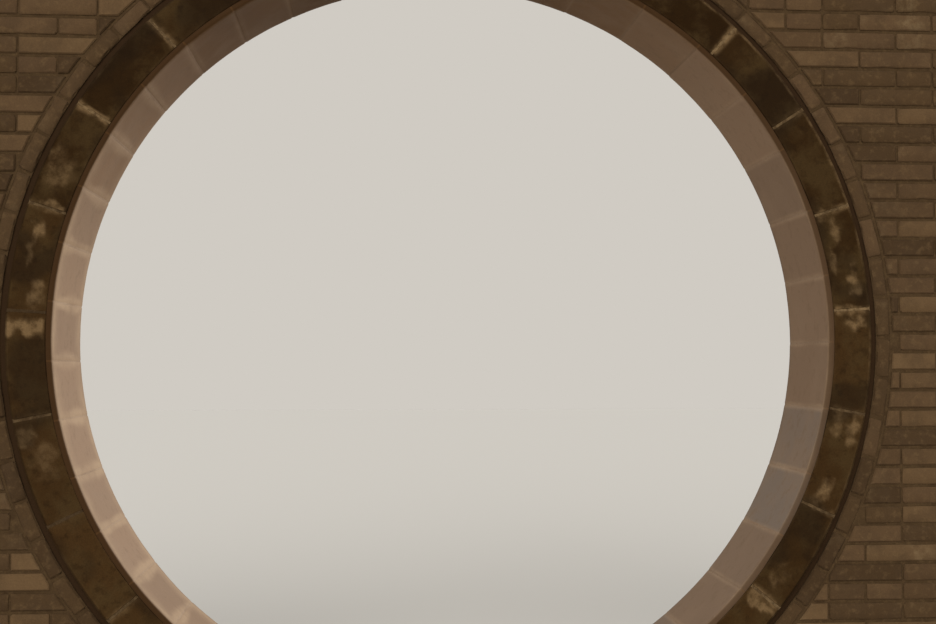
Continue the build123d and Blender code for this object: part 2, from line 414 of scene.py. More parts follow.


# Grey-brown clay brick, fired in a clamp and laid for decades: dull, with soft worn arrises,
# shades from brick to brick and a sandy grit.
# Its darker tones also give the painted shade on the lower left half of the brick ring.
FIRED_BRICK = MineralFinish(
    name="fired_clay_brick",
    tones=("#3f2d19", "#4c3821", "#57412a", "#60492f", "#6e5538"),
    mottle=Patches("#463421", 110.0, 0.45), stain=Patches("#6d5537", 26.0, 0.35),
    lime="#8a7352", lime_share=0.65, grime="#2b1e11",
    grit_mm=4.0, grit_contrast=0.12, relief_mm=2.2, relief_size_mm=16.0, roughness=0.92,
)

# Lime mortar raked back between the bricks: in shade, sooty and sandy.
# Its dark grime colour also gives the painted shade on the floor of the groove round the ring.
RAKED_MORTAR = MineralFinish(
    name="raked_lime_mortar",
    tones=("#42301b", "#4e3b24"),
    mottle=Patches("#362512", 60.0, 0.5), stain=Patches("#634c30", 14.0, 0.35),
    lime="#856c49", lime_share=0.7, grime="#32200d",
    grit_contrast=0.2, relief_mm=2.5, relief_size_mm=9.0, roughness=0.95,
)

# Lime mortar pointed between the dressed stones of the ring: chalky where it bleeds, else dark.
POINTED_MORTAR = MineralFinish(
    name="pointed_lime_mortar",
    tones=("#3d2b15", "#49351d"),
    mottle=Patches("#332310", 45.0, 0.5), stain=Patches("#5b462d", 12.0, 0.35),
    lime="#866d4b", lime_gaps=0.6, grime="#20160c",
    relief_mm=2.0, relief_size_mm=8.0, roughness=0.95,
)

# The same mortar between the slabs of the lining, rubbed flush and paler by long use.
RUBBED_POINTING = MineralFinish(
    name="rubbed_lime_pointing",
    tones=("#80674f", "#8f745b"),
    mottle=Patches("#8b7157", 50.0, 0.3), stain=Patches("#9b8066", 12.0, 0.35),
    lime="#b2987d", lime_share=0.8, lime_gaps=0.25, grime="#4c3216",
    grit_contrast=0.08, relief_mm=0.8, relief_size_mm=10.0,
)

# Dark fine-grained stone, hewn and weathered: olive-brown fields with lime smears.
# Its darker tones also give painted shade towards the top of the ring, its grime colour painted shade on
# the outer rim, and its lime colour painted highlights on the edges.
HEWN_RING_STONE = MineralFinish(
    name="hewn_ring_stone",
    tones=("#261706", "#36240f", "#483219"),
    mottle=Patches("#47361e", 120.0, 0.6), stain=Patches("#231507", 34.0, 0.45),
    lime="#785f40", lime_gaps=0.65, grime="#1c130a",
    grit_mm=4.0, relief_mm=3.0, relief_size_mm=22.0, roughness=0.88, gloss=0.06,
)

# Fine sandstone slabs, rubbed smooth and then worn by long use: matt, pale, faintly mottled.
# Its darkest tones and grime colour also give painted shade under the crown and on the slabs' front ends,
# and its lime colour a painted highlight along the front edges.
RUBBED_LINING_STONE = MineralFinish(
    name="rubbed_lining_stone",
    tones=("#857566", "#896f57", "#967a60", "#87684a", "#6f5030"),
    mottle=Patches("#957b62", 160.0, 0.4), stain=Patches("#755c44", 40.0, 0.3),
    lime="#b29677", lime_share=0.8, lime_gaps=0.25, grime="#3f2912",
    grit_contrast=0.05, relief_mm=0.7, relief_size_mm=30.0, roughness=0.72, gloss=0.10,
)

# Grey granite, bush-hammered on the faces: evenly pitted, with dust and rain streaks.
HAMMERED_GRANITE = GraniteFinish(
    name="bush_hammered_granite",
    tones=("#6f675b", "#7b7265", "#857b6d"),
    mottle=Patches("#5f5546", 150.0, 0.4), stain=Patches("#93897a", 35.0, 0.3),
    lime="#a3967e", lime_share=0.6, grime="#3b3022",
    grit_mm=5.0, relief_mm=2.6, relief_size_mm=7.0, roughness=0.85,
)

# Grey clay tile, fired in a smothered kiln and unglazed: dull slate grey, dusty, with dry lichen.
GREY_CLAY_TILE = MineralFinish(
    name="grey_clay_tile",
    tones=("#35312c", "#413c35", "#4d473f", "#58524a"),
    mottle=Patches("#625b4e", 70.0, 0.35), stain=Patches("#2b2722", 18.0, 0.45),
    lime="#8a8069", lime_share=0.6, grime="#1f1a14",
    grit_mm=2.5, grit_contrast=0.10, relief_size_mm=10.0, roughness=0.8,
)

# Lime plaster trowelled over the bed of the coping: weathered grey and streaked.
WEATHERED_PLASTER = MineralFinish(
    name="weathered_lime_plaster",
    tones=("#75674f", "#84755b"),
    mottle=Patches("#5a4c38", 120.0, 0.55), stain=Patches("#93856b", 40.0, 0.4),
    lime="#a39377", lime_share=0.6, grime="#2e2417",
    grit_contrast=0.12, relief_mm=2.0, relief_size_mm=24.0, roughness=0.93,
)


@dataclass(frozen=True)
class Dot:
    """A point of a surface with its marks."""

    place: Point
    tone: float = 0.5
    lime: float = 0.0
    grime: float = 0.0


@dataclass
class Shape:
    """A mesh while it is put together: points with their marks, and faces."""

    dots: list[Dot] = field(default_factory=list)
    faces: list[tuple[int, ...]] = field(default_factory=list)

    def add(self, dots: Sequence[Dot]) -> list[int]:
        """Adds points and gives their numbers."""
        self.dots += dots
        return list(range(len(self.dots) - len(dots), len(self.dots)))

    def face(self, corners: Sequence[int], flip: bool = False) -> None:
        """Adds a face, counter-clockwise as seen from outside, or else flip is set."""
        self.faces.append(tuple(reversed(corners)) if flip else tuple(corners))

    def band(self, first: Sequence[int], second: Sequence[int], flip: bool = False) -> None:
        """Joins two closed rings of as many points each by a band of quads.

        Args:
            first: The point numbers of one ring.
            second: Those of the other.
            flip: Whether the faces are turned over.
        """
        for index in range(len(first)):
            after = (index + 1) % len(first)
            self.face((first[index], first[after], second[after], second[index]), flip)

    def panel(self, grid: Sequence[Sequence[Dot]], behind: Callable[[Point], Point],
              flip: bool = False) -> None:
        """Adds a closed block whose seen side is a grid of points.

        Args:
            grid: The points of the seen side, column by column. Seen from outside, columns
                run to the right and the points of a column run up, or else flip is set.
            behind: Gives the point on the block's back behind a point of its rim.
            flip: Whether the grid is given the other way round.
        """
        number = [self.add(column) for column in grid]
        last_column, last_row = len(grid) - 1, len(grid[0]) - 1
        for column, row in product(range(last_column), range(last_row)):
            left, right = number[column], number[column + 1]
            self.face((left[row], right[row], right[row + 1], left[row + 1]), flip)
        rim = (
            [(column, 0) for column in range(last_column)]
            + [(last_column, row) for row in range(last_row)]
            + [(column, last_row) for column in range(last_column, 0, -1)]
            + [(0, row) for row in range(last_row, 0, -1)]
        )
        edge = [grid[column][row] for column, row in rim]
        back = self.add([Dot(behind(dot.place), dot.tone, 0.0, dot.grime) for dot in edge])
        self.band(back, [number[column][row] for column, row in rim], flip)
        self.face(back, not flip)

    def sleeve(self, loops: Sequence[Sequence[Dot]]) -> "Shape":
        """Adds a closed body from rings of points.

        Args:
            loops: The rings from the far end to the near end. Each runs counter-clockwise
                as seen from the near end.

        Returns:
            The shape itself.
        """
        rings = [self.add(loop) for loop in loops]
        for far, near in zip(rings, rings[1:]):
            self.band(far, near)
        self.face(rings[0], flip=True)
        self.face(rings[-1])
        return self

    def box(self, low: Point, high: Point, tone: float = 0.5, grime: float = 0.0) -> "Shape":
        """Adds a plain block between two corners."""
        return self.sleeve([
            [Dot((x, y, z), tone, 0.0, grime) for x, z in rectangle(low[0], high[0], low[2], high[2])]
            for y in (high[1], low[1])
        ])

    def mesh(self, name: str, finish: Optional[Finish] = None) -> bpy.types.Mesh:
        """The mesh itself.

        Args:
            name: Its name.
            finish: Its finish, where it isn't given one later.

        Returns:
            The mesh, with its marks as attributes.
        """
        mesh = bpy.data.meshes.new(name)
        mesh.from_pydata([dot.place for dot in self.dots], [], self.faces)
        for mark in ("tone", "lime", "grime"):
            values = [getattr(dot, mark) for dot in self.dots]
            mesh.attributes.new(mark, "FLOAT", "POINT").data.foreach_set("value", values)
        if finish:
            mesh.materials.append(finish.material())
        mesh.shade_smooth()
        mesh.set_sharp_from_angle(angle=SMOOTH_ANGLE)
        mesh.update()
        return mesh

    def dressed(self, name: str, finish: Finish) -> bpy.types.Object:
        """The object at the origin that shows the mesh in its finish."""
        return to_object(name, self.mesh(name, finish))


def to_object(name: str, data: bpy.types.ID) -> bpy.types.Object:
    """Makes an object at the origin and links it into the scene.

    Args:
        name: Its name.
        data: Its mesh, lamp or camera.

    Returns:
        The object.
    """
    thing = bpy.data.objects.new(name, data)
    bpy.context.scene.collection.objects.link(thing)
    return thing


def hand_over(name: str, parts: Sequence[bpy.types.Object], node: str) -> None:
    """Joins the parts of a finished piece, fixes it to the body and hides the node that it replaces.

    Args:
        name: The piece's name.
        parts: Its parts, at the origin.
        node: The node that it replaces.
    """
    piece = parts[0]
    if len(parts) > 1:
        with bpy.context.temp_override(active_object=piece, selected_editable_objects=list(parts)):
            bpy.ops.object.join()
    piece.name = name
    piece.data.name = name
    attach(piece, BODY)
    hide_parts(node)
    triangles = sum(len(polygon.vertices) - 2 for polygon in piece.data.polygons)
    log.info("%s: %d triangles", piece.name, triangles)


@dataclass(frozen=True)
class Spot:
    """Where one shape lies: its place, which shape it is, and its turn about X, Y and Z."""

    place: Point
    pick: int
    turn: Point = (0.0, 0.0, 0.0)


@dataclass
class Laying:
    """Geometry nodes that lay one of several shapes on each point of a mesh.

    Each point carries turn, the angles at which its shape lies, and pick, the number of the
    shape. The tree gives each shape a small random sway and its own tone.

    Attributes:
        sway: The most that a shape leans, in radians.
        darkest: The lowest tone that a shape gets, and palest the highest.
    """

    sway: float = 0.004
    darkest: float = 0.0
    palest: float = 1.0
    seed: int = 1

    def tree(self) -> bpy.types.NodeTree:
        """Builds the node tree once.

        Returns:
            The tree, which takes its sizes from its named inputs.
        """
        made = bpy.data.node_groups.get("laying")
        if made is not None:
            return made
        tree = bpy.data.node_groups.new("laying", "GeometryNodeTree")
        for name, kind in (
            ("Points", "Geometry"), ("Shapes", "Collection"), ("Finish", "Material"),
            ("Sway", "Float"), ("Darkest", "Float"), ("Palest", "Float"), ("Seed", "Int"),
        ):
            tree.interface.new_socket(name, in_out="INPUT", socket_type=f"NodeSocket{kind}")
        tree.interface.new_socket("Result", in_out="OUTPUT", socket_type="NodeSocketGeometry")
        given = tree.nodes.new("NodeGroupInput").outputs
        turn, pick, tone, shade = (
            add_node(tree, "GeometryNodeInputNamedAttribute", {"Name": name}, data_type=kind)
            for name, kind in (
                ("turn", "FLOAT_VECTOR"), ("pick", "INT"), ("tone", "FLOAT"), ("shade", "FLOAT"),
            )
        )
        least = add_node(tree, "ShaderNodeMath", {0: given["Sway"], 1: -1.0}, operation="MULTIPLY")
        shade_by_chance, sway = (
            add_node(tree, "FunctionNodeRandomValue", {
                "Min": low, "Max": given[high], "Seed": given["Seed"],
            }, data_type=kind)
            for low, high, kind in ((given["Darkest"], "Palest", "FLOAT"), (least, "Sway", "FLOAT_VECTOR"))
        )
        shaded = add_node(tree, "GeometryNodeStoreNamedAttribute", {
            "Geometry": given["Points"], "Name": "shade", "Value": shade_by_chance,
        }, data_type="FLOAT", domain="POINT")
        leaning = add_node(tree, "ShaderNodeVectorMath", {0: turn, 1: sway}, operation="ADD")
        shapes = add_node(tree, "GeometryNodeCollectionInfo", {
            "Collection": given["Shapes"], "Separate Children": True, "Reset Children": True,
        })
        laid = add_node(tree, "GeometryNodeInstanceOnPoints", {
            "Points": shaded, "Instance": shapes, "Pick Instance": True,
            "Instance Index": pick, "Rotation": leaning,
        })
        real = add_node(tree, "GeometryNodeRealizeInstances", {"Geometry": laid})
        from_middle = add_node(tree, "ShaderNodeMath", {0: tone, 1: 0.5}, operation="SUBTRACT")
        both = add_node(tree, "ShaderNodeMath", {0: from_middle, 1: shade}, operation="ADD")
        toned = add_node(tree, "GeometryNodeStoreNamedAttribute", {
            "Geometry": real, "Name": "tone", "Value": both,
        }, data_type="FLOAT", domain="POINT")
        dressed = add_node(tree, "GeometryNodeSetMaterial", {
            "Geometry": toned, "Material": given["Finish"],
        })
        add_node(tree, "NodeGroupOutput", {"Result": dressed})
        return tree

    def lay(self, name: str, shapes: Sequence[Shape], finish: Finish,
            spots: Sequence[Spot]) -> bpy.types.Object:
        """Lays the shapes and gives the plain mesh that they make.

        Args:
            name: The new object's name.
            shapes: The shapes to pick from.
            finish: Their finish.
            spots: Where each one lies.

        Returns:
            The object at the origin, with no modifier left on it.
        """
        store = bpy.data.collections.new("shapes")
        bpy.context.scene.collection.children.link(store)
        for number, shape in enumerate(shapes):
            store.objects.link(bpy.data.objects.new(f"shape_{number:02d}", shape.mesh("shape")))
        mesh = bpy.data.meshes.new("spots")
        mesh.from_pydata([spot.place for spot in spots], [], [])
        turns = [angle for spot in spots for angle in spot.turn]
        mesh.attributes.new("turn", "FLOAT_VECTOR", "POINT").data.foreach_set("vector", turns)
        picks = [spot.pick for spot in spots]
        mesh.attributes.new("pick", "INT", "POINT").data.foreach_set("value", picks)
        carrier = to_object("spots", mesh)
        modifier = carrier.modifiers.new("laying", "NODES")
        modifier.node_group = self.tree()
        values = {
            "Shapes": store, "Finish": finish.material(),
            "Sway": self.sway, "Darkest": self.darkest, "Palest": self.palest, "Seed": self.seed,
        }
        for item in self.tree().interface.items_tree:
            if item.item_type == "SOCKET" and item.name in values:
                modifier[item.identifier] = values[item.name]
        graph = bpy.context.evaluated_depsgraph_get()
        result = bpy.data.meshes.new_from_object(
            carrier.evaluated_get(graph), preserve_all_data_layers=True, depsgraph=graph)
        for thing in (carrier, *store.objects):
            bpy.data.objects.remove(thing)
        bpy.data.collections.remove(store)
        return to_object(name, result)


@dataclass(frozen=True)
class FaceBrick:
    """A worn brick whose face lies at y = 0 and whose body runs back to +Y.

    Attributes:
        arris: How far its edges are worn back.
        columns: Cells along the face between the worn edges.
        smear: How thick lime lies on it in places.
    """

    length: float
    height: float
    depth: float
    arris: float = 0.005
    columns: int = 6
    smear: float = 0.0
    tone: float = 0.5
    seed: int = 0

    def shape(self) -> Shape:
        """The brick as a closed block: a worn face, straight sides and a plain back.

        Returns:
            The shape, with one corner chipped off and one edge knocked.
        """
        dice = random.Random(self.seed)
        across = edged_steps(-self.length / 2, self.length / 2, self.arris, self.columns)
        upward = edged_steps(-self.height / 2, self.height / 2, self.arris, 2)
        ends, beds = (0, len(across) - 1), (0, len(upward) - 1)
        chipped = dice.choice(ends), dice.choice(beds)
        knocked = dice.randrange(1, ends[1]), dice.choice(beds)
        grid = []
        for column, x in enumerate(across):
            dots = []
            for row, z in enumerate(upward):
                on_end, on_bed = column in ends, row in beds
                wobble = waver(x * 21, z * 43, self.seed * 3.7)
                y = self.arris * (0.9 + 0.5 * wobble) if on_end or on_bed else 0.0012 + 0.0010 * wobble
                pull = 0.0022 * abs(waver(x * 33, z * 31, self.seed * 1.3))
                for worn, pulled_in, sunk in (
                    (on_end and on_bed, 0.22, 0.25),
                    ((column, row) == chipped, 0.15, 0.8),
                    ((column, row) == knocked, 0.25, 0.5),
                ):
                    pull += worn * pulled_in * self.arris
                    y += worn * sunk * self.arris
                patch = 0.5 + 1.6 * waver(x * 9, z * 14, self.seed * 5.3)
                place = (
                    x - math.copysign(pull, x) * on_end, max(y, 0.0), z - math.copysign(pull, z) * on_bed,
                )
                dots.append(Dot(place, self.tone, self.smear * max(0.0, patch)))
            grid.append(dots)
        shape = Shape()
        shape.panel(grid, lambda place: (place[0], self.depth, place[2]))
        return shape


@dataclass(frozen=True)
class CornerBlock:
    """A whole brick worn on all its edges, centred on its own middle, with its length along X.

    Attributes:
        arris: How far its edges are worn back.
        wear: The most that a corner's points are out of place.
    """

    length: float
    depth: float
    height: float
    arris: float = 0.005
    seed: int = 0
    wear: float = 0.0008

    def shape(self) -> Shape:
        """The block as six inset faces joined by worn edges and corners.

        Returns:
            The shape, whose corners are three points each, one on each face beside it.
        """
        dice = random.Random(self.seed)
        halves = (self.length / 2, self.depth / 2, self.height / 2)
        shape = Shape()
        corner: dict[tuple[int, ...], int] = {}
        for *signs, axis in product((-1, 1), (-1, 1), (-1, 1), range(3)):
            place = [
                sign * (half - (number != axis) * self.arris - self.wear * dice.random())
                for number, (sign, half) in enumerate(zip(signs, halves))
            ]
            corner[*signs, axis] = shape.add([Dot(tuple(place))])[0]
        for axis, sign in product(range(3), (-1, 1)):
            around = [self.corner_signs(axis, sign, pair) for pair in ((-1, -1), (1, -1), (1, 1), (-1, 1))]
            shape.face([corner[*signs, axis] for signs in around], (sign < 0) != (axis == 1))
        for axis, a, b in product(range(3), (-1, 1), (-1, 1)):
            first, second = (other for other in range(3) if other != axis)
            low, high = (self.corner_signs(axis, sign, (a, b)) for sign in (-1, 1))
            quad = [corner[*low, first], corner[*high, first], corner[*high, second], corner[*low, second]]
            shape.face(quad, (a * b > 0) == (axis == 1))
        for signs in product((-1, 1), repeat=3):
            shape.face([corner[*signs, axis] for axis in range(3)], math.prod(signs) < 0)
        return shape

    def corner_signs(self, axis: int, sign: int, others: tuple[int, int]) -> list[int]:
        """The signs of a corner along X, Y and Z, from the one along an axis and the two others."""
        return [*others[:axis], sign, *others[axis:]]


def rectangle(x_low: float, x_high: float, z_low: float, z_high: float) -> list[Flat]:
    """The corners of a rectangle, counter-clockwise from the lower left."""
    return [(x_low, z_low), (x_high, z_low), (x_high, z_high), (x_low, z_high)]


def sides(outline: Sequence[Flat]) -> Iterator[tuple[Flat, Flat]]:
    """Start and end of each side of a closed outline."""
    return zip(outline, [*outline[1:], outline[0]])


def cut_outside_circle(rect: tuple[float, float, float, float], radius: float,
                       step: float = 0.018, thinnest: float = 0.0) -> Optional[list[Flat]]:
    """The part of a rectangle that lies outside a circle about the origin.

    Args:
        rect: Lowest and highest X, then lowest and highest Z.
        radius: The circle's radius.
        step: Spacing of the points along the cut.
        thinnest: How thick a sharp end is where it is broken off.

    Returns:
        The outline, counter-clockwise, or None where nothing or more than one piece is left.
    """
    corners = rectangle(*rect)
    outline: list[Flat] = []
    crossings: list[int] = []
    for start, end in sides(corners):
        if math.hypot(*start) >= radius:
            outline.append(start)
        along = (end[0] - start[0], end[1] - start[1])
        a = along[0] ** 2 + along[1] ** 2
        b = 2 * (start[0] * along[0] + start[1] * along[1])
        c = start[0] ** 2 + start[1] ** 2 - radius ** 2
        root = math.sqrt(max(0.0, b * b - 4 * a * c))
        for share in ((-b - root) / (2 * a), (-b + root) / (2 * a)):
            if root > 0 and 0 < share < 1:
                crossings.append(len(outline))
                outline.append((start[0] + along[0] * share, start[1] + along[1] * share))
    if len(crossings) != 2:
        return None
    first, second = crossings
    (x_first, z_first), (x_second, z_second) = outline[first], outline[second]
    crossed = math.hypot((x_first + x_second) / 2, (z_first + z_second) / 2) < radius
    # The outline jumps across the circle where its next point after a crossing is the other one
    if second == first + 1 and crossed:
        start, end, insert_at = outline[first], outline[second], second
    else:
        start, end, insert_at = outline[second], outline[first], second + 1
    if math.dist(start, end) < thinnest / 2:
        # With three corners outside only a tip of the fourth would be cut off, else a tip is all
        return corners if len(outline) == 5 else None
    from_angle, to_angle = math.atan2(start[1], start[0]), math.atan2(end[1], end[0])
    turn = (to_angle - from_angle + math.pi) % (2 * math.pi) - math.pi
    count = max(1, round(abs(turn) * radius / step))
    arc = [
        (radius * math.cos(angle), radius * math.sin(angle))
        for angle in steps(from_angle, from_angle + turn, count)[1:-1]
    ]
    around = [
        point for point in outline[insert_at:] + outline[:insert_at]
        if point in (start, end) or min(math.dist(point, start), math.dist(point, end)) > thinnest / 2
    ]
    cut = blunt([start, *arc, end], around[-2], thinnest)
    cut = blunt(cut[::-1], around[1], thinnest)[::-1]
    return cut + around[1:-1] if cut else None


def blunt(cut: list[Flat], neighbour: Flat, thinnest: float) -> list[Flat]:
    """A cut edge whose sharp first end is broken off where the piece gets too thin.

    Args:
        cut: Points of the cut edge.
        neighbour: The outline's point before the cut edge.
        thinnest: How thick the piece is at its new end.

    Returns:
        The shorter edge, empty where the whole piece is too thin.
    """
    if thinnest <= 0 or len(cut) < 2:
        return cut
    tip = Vector(cut[0])
    side = Vector(neighbour) - tip
    length = side.length
    side = side / max(length, 1e-9)
    for index, point in enumerate(cut[1:], 1):
        reach = Vector(point) - tip
        along, off = reach.dot(side), abs(side.x * reach.y - side.y * reach.x)
        if along <= 0 or (index == 1 and off >= thinnest):
            return cut
        if along >= length:
            return []
        if off >= thinnest:
            root = tip + side * along
            return [(root.x, root.y), *cut[index:]]
    return []


def area_of(outline: Sequence[Flat]) -> float:
    """The area inside an outline, positive when it runs counter-clockwise."""
    return sum(x * z_next - x_next * z for (x, z), (x_next, z_next) in sides(outline)) / 2


def inset(outline: Sequence[Flat], distance: float) -> list[Flat]:
    """An outline moved inwards, corner by corner.

    Args:
        outline: The outline, counter-clockwise.
        distance: How far it moves, less at a very sharp corner.

    Returns:
        The smaller outline.
    """
    moved = []
    for index, (x, z) in enumerate(outline):
        before, after = outline[index - 1], outline[(index + 1) % len(outline)]
        one = Vector((x - before[0], z - before[1])).normalized()
        two = Vector((after[0] - x, after[1] - z)).normalized()
        inward = Vector((-one.y - two.y, one.x + two.x))
        length = max(inward.length, 0.7)
        reach = distance * 2 / length ** 2
        moved.append((x + inward.x * reach, z + inward.y * reach))
    return moved


@dataclass
class Brickwork:
    """The wall's bricks in courses, laid on both faces, and the mortar raked back behind them.

    Attributes:
        course: Height of a brick with its bed joint.
        modules: Half-brick modules along the whole wall.
        perpend: Width of an upright joint.
        rake: How far the mortar lies behind the bricks' faces.
        embed: How far a face brick is made into the wall.
        least_cut: Face area of the smallest cut brick that is laid, in square metres.
        thinnest: How thick the sharp end of a cut brick is where it is broken off.
        header_share: How often a brick shows its end where it could show its side.
        stretchers: Kinds of whole bricks, with headers and corners kinds of the others.
        worn: How far the edge of a cut brick is worn back.
    """

    sizes: GateSizes
    course: float = 0.063
    brick_length: float = 0.240
    brick_depth: float = 0.115
    brick_height: float = 0.053
    modules: int = 48
    perpend: float = 0.006
    rake: float = 0.008
    embed: float = 0.045
    ring_joint: float = 0.009
    least_cut: float = 0.0011
    thinnest: float = 0.010
    header_share: float = 0.22
    stretchers: int = 10
    headers: int = 6
    corners: int = 3
    worn: float = 0.004
    seed: int = 11

    @property
    def module(self) -> float:
        """Length of half a brick with its joint."""
        return 2 * self.sizes.half_length / self.modules

    def kinds(self) -> list[Shape]:
        """The worn bricks to pick from.

        Returns:
            The stretchers, then the headers and the corner blocks.
        """
        long_face, short_face = 2 * self.module - self.perpend, self.module - self.perpend
        height = self.brick_height
        bricks = [
            *(FaceBrick(long_face, height, self.embed, smear=0.32 if index < 2 else 0.10, seed=index)
              for index in range(self.stretchers)),
            *(FaceBrick(short_face, height, self.embed, columns=2, seed=40 + index)
              for index in range(self.headers)),
            *(CornerBlock(self.brick_length, self.brick_depth, height, seed=70 + index)
              for index in range(self.corners)),
        ]
        return [brick.shape() for brick in bricks]

    def header_first(self, row: int, wall_face: WallFace) -> bool:
        """Whether a course starts with a header at the ends of a face."""
        return (row % 2 == 0) == (wall_face is WallFace.FRONT)

    def spans(self, row: int, wall_face: WallFace) -> Iterator[tuple[float, float]]:
        """Where the face bricks of a course lie between its corner blocks.

        Args:
            row: The course's number from the bottom.
            wall_face: The face of the wall.

        Yields:
            Start and end in X of each brick, seen from its own face.
        """
        dice = random.Random(self.seed * 1000 + row * 2 + (wall_face is WallFace.BACK))
        first = 1 if self.header_first(row, wall_face) else 2
        last = self.modules - first
        for index in range(first, last, 2):
            if index + 1 < last and dice.random() >= self.header_share:
                yield self.span(index, 2)
                continue
            yield self.span(index, 1)
            if index + 1 < last:
                # A header is followed by another, so that the bond keeps its place
                yield self.span(index + 1, 1)

    def span(self, index: int, modules: int) -> tuple[float, float]:
        """Start and end in X of a brick that covers some modules."""
        start = -self.sizes.half_length + index * self.module + self.perpend / 2
        return start, start + modules * self.module - self.perpend

    def corner_spots(self, row: int, z: float) -> Iterator[Spot]:
        """Where the corner blocks of a course lie, which show on two faces.

        Args:
            row: The course's number from the bottom.
            z: The height of its middle.

        Yields:
            The spots of the two blocks at the left end and the two at the right.
        """
        dice = random.Random(self.seed + row)
        for end, wall_face in product((-1, 1), WallFace):
            size, turn = (self.brick_length, self.brick_depth), 0.0
            if self.header_first(row, wall_face):
                size, turn = size[::-1], math.pi / 2
            x = end * (self.sizes.half_length - size[0] / 2 - 0.0006)
            y = wall_face.value * (self.sizes.half_wall - size[1] / 2)
            pick = self.stretchers + self.headers + dice.randrange(self.corners)
            yield Spot((x, y, z), pick, (0.0, 0.0, turn + (math.pi if end != wall_face.value else 0.0)))

    def zone(self, node: str, kinds: Sequence[Shape]) -> None:
        """Lays the bricks and mortar of one node of the wall.

        Args:
            node: The node that they stand for.
            kinds: The bricks to pick from.
        """
        low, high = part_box(node)
        dice = random.Random(f"{self.seed} {node}")
        spots: list[Spot] = []
        cuts = Shape()
        own_end = 1 if high.x > 0 else -1
        for row in range(round((self.sizes.wall_top - self.sizes.wall_bottom) / self.course)):
            z = self.sizes.wall_bottom + (row + 0.5) * self.course
            if not low.z <= z < high.z:
                continue
            for wall_face in WallFace:
                for start, end in self.spans(row, wall_face):
                    if low.x <= -wall_face.value * (start + end) / 2 < high.x:
                        self.brick((start, end), z, wall_face, spots, cuts, dice)
            if self.sizes.half_length in (abs(low.x), abs(high.x)):
                spots += [spot for spot in self.corner_spots(row, z) if spot.place[0] * own_end > 0]
        laying = Laying(darkest=0.15, palest=0.8, seed=dice.randrange(1000))
        parts = [self.mortar(low, high), laying.lay("whole_bricks", kinds, FIRED_BRICK, spots)]
        if cuts.faces:
            parts.append(cuts.dressed("cut_bricks", FIRED_BRICK))
        hand_over(f"{node}_bricks", parts, node)

    def brick(self, span: tuple[float, float], z: float, wall_face: WallFace, spots: list[Spot],
              cuts: Shape, dice: random.Random) -> None:
        """Lays one face brick, whole or cut to the ring, or none inside it.

        Args:
            span: Its start and end in X.
            z: The height of its middle.
            wall_face: Its face of the wall.
            spots: Takes its spot where it is whole.
            cuts: Takes its shape where it is cut.
            dice: Chooses its kind and its wear.
        """
        up, half = z - self.sizes.centre, self.brick_height / 2
        rect = (*span, up - half, up + half)
        nearest = math.hypot(*(min(max(0.0, low), high) for low, high in (span, rect[2:])))
        farthest = max(math.hypot(*corner) for corner in rectangle(*rect))
        radius = self.sizes.bricks_outer + self.ring_joint
        if nearest >= radius:
            first, count = 0, self.stretchers
            if span[1] - span[0] < 1.5 * self.module:
                first, count = self.stretchers, self.headers
            pick = first + dice.randrange(count)
            place = (sum(span) / 2, -self.sizes.half_wall + 0.002 * dice.random(), z)
            spots.append(Spot(wall_face.place(place), pick, (0.0, 0.0, wall_face.turn)))
        elif farthest > radius:
            outline = cut_outside_circle(rect, radius, thinnest=self.thinnest)
            if outline and area_of(outline) > self.least_cut:
                self.cut_brick(cuts, outline, wall_face, dice)

    def cut_brick(self, shape: Shape, outline: list[Flat], wall_face: WallFace,
                  dice: random.Random) -> None:
        """Adds a brick cut to the ring, with worn edges and lime near the ring.

        Args:
            shape: Takes the brick.
            outline: Its outline about the doorway's axis.
            wall_face: Its face of the wall.
            dice: Chooses its shade, its lime and how far back it lies.
        """
        tone = 0.9 * dice.random()
        smeared = 0.30 if dice.random() < 0.35 else 0.15
        face = -self.sizes.half_wall + 0.003 * dice.random()
        loops = []
        for depth, limed, corners in (
            (self.embed, 0, outline), (self.worn, 1, outline), (0.0, 1, inset(outline, self.worn)),
        ):
            loop = []
            for x, up in corners:
                from_ring = math.hypot(x, up) - self.sizes.bricks_outer
                place = wall_face.place((x, face + depth, self.sizes.centre + up))
                loop.append(Dot(place, tone, limed * max(0.0, smeared - from_ring / 0.12)))
            loops.append(loop)
        shape.sleeve(loops)

    def mortar(self, low: Vector, high: Vector) -> bpy.types.Object:
        """The mortar and core of a node: its own outline, raked back from the open faces.

        Args:
            low: The lowest corner of the node's box.
            high: The highest corner of the node's box.

        Returns:
            The mortar's object.
        """
        reach, depth = self.sizes.half_length - self.rake, self.sizes.half_wall - self.rake
        up_low, up_high = low.z - self.sizes.centre, high.z - self.sizes.centre
        rect = (max(low.x, -reach), min(high.x, reach), up_low, up_high)
        outline = cut_outside_circle(rect, self.sizes.bricks_outer, 0.06) or rectangle(*rect)
        shape = Shape().sleeve([
            [Dot((x, y, self.sizes.centre + up), 0.5, 0.12) for x, up in outline]
            for y in (depth, -depth)
        ])
        return shape.dressed("mortar", RAKED_MORTAR)

    def build(self) -> None:
        """Builds every node of the wall."""
        kinds = self.kinds()
        for node in (
            "brick_wall_left", "brick_wall_right", "brick_band_over_gate",
            "spandrel_upper_left", "spandrel_upper_right",
            "spandrel_lower_left", "spandrel_lower_right",
        ):
            self.zone(node, kinds)


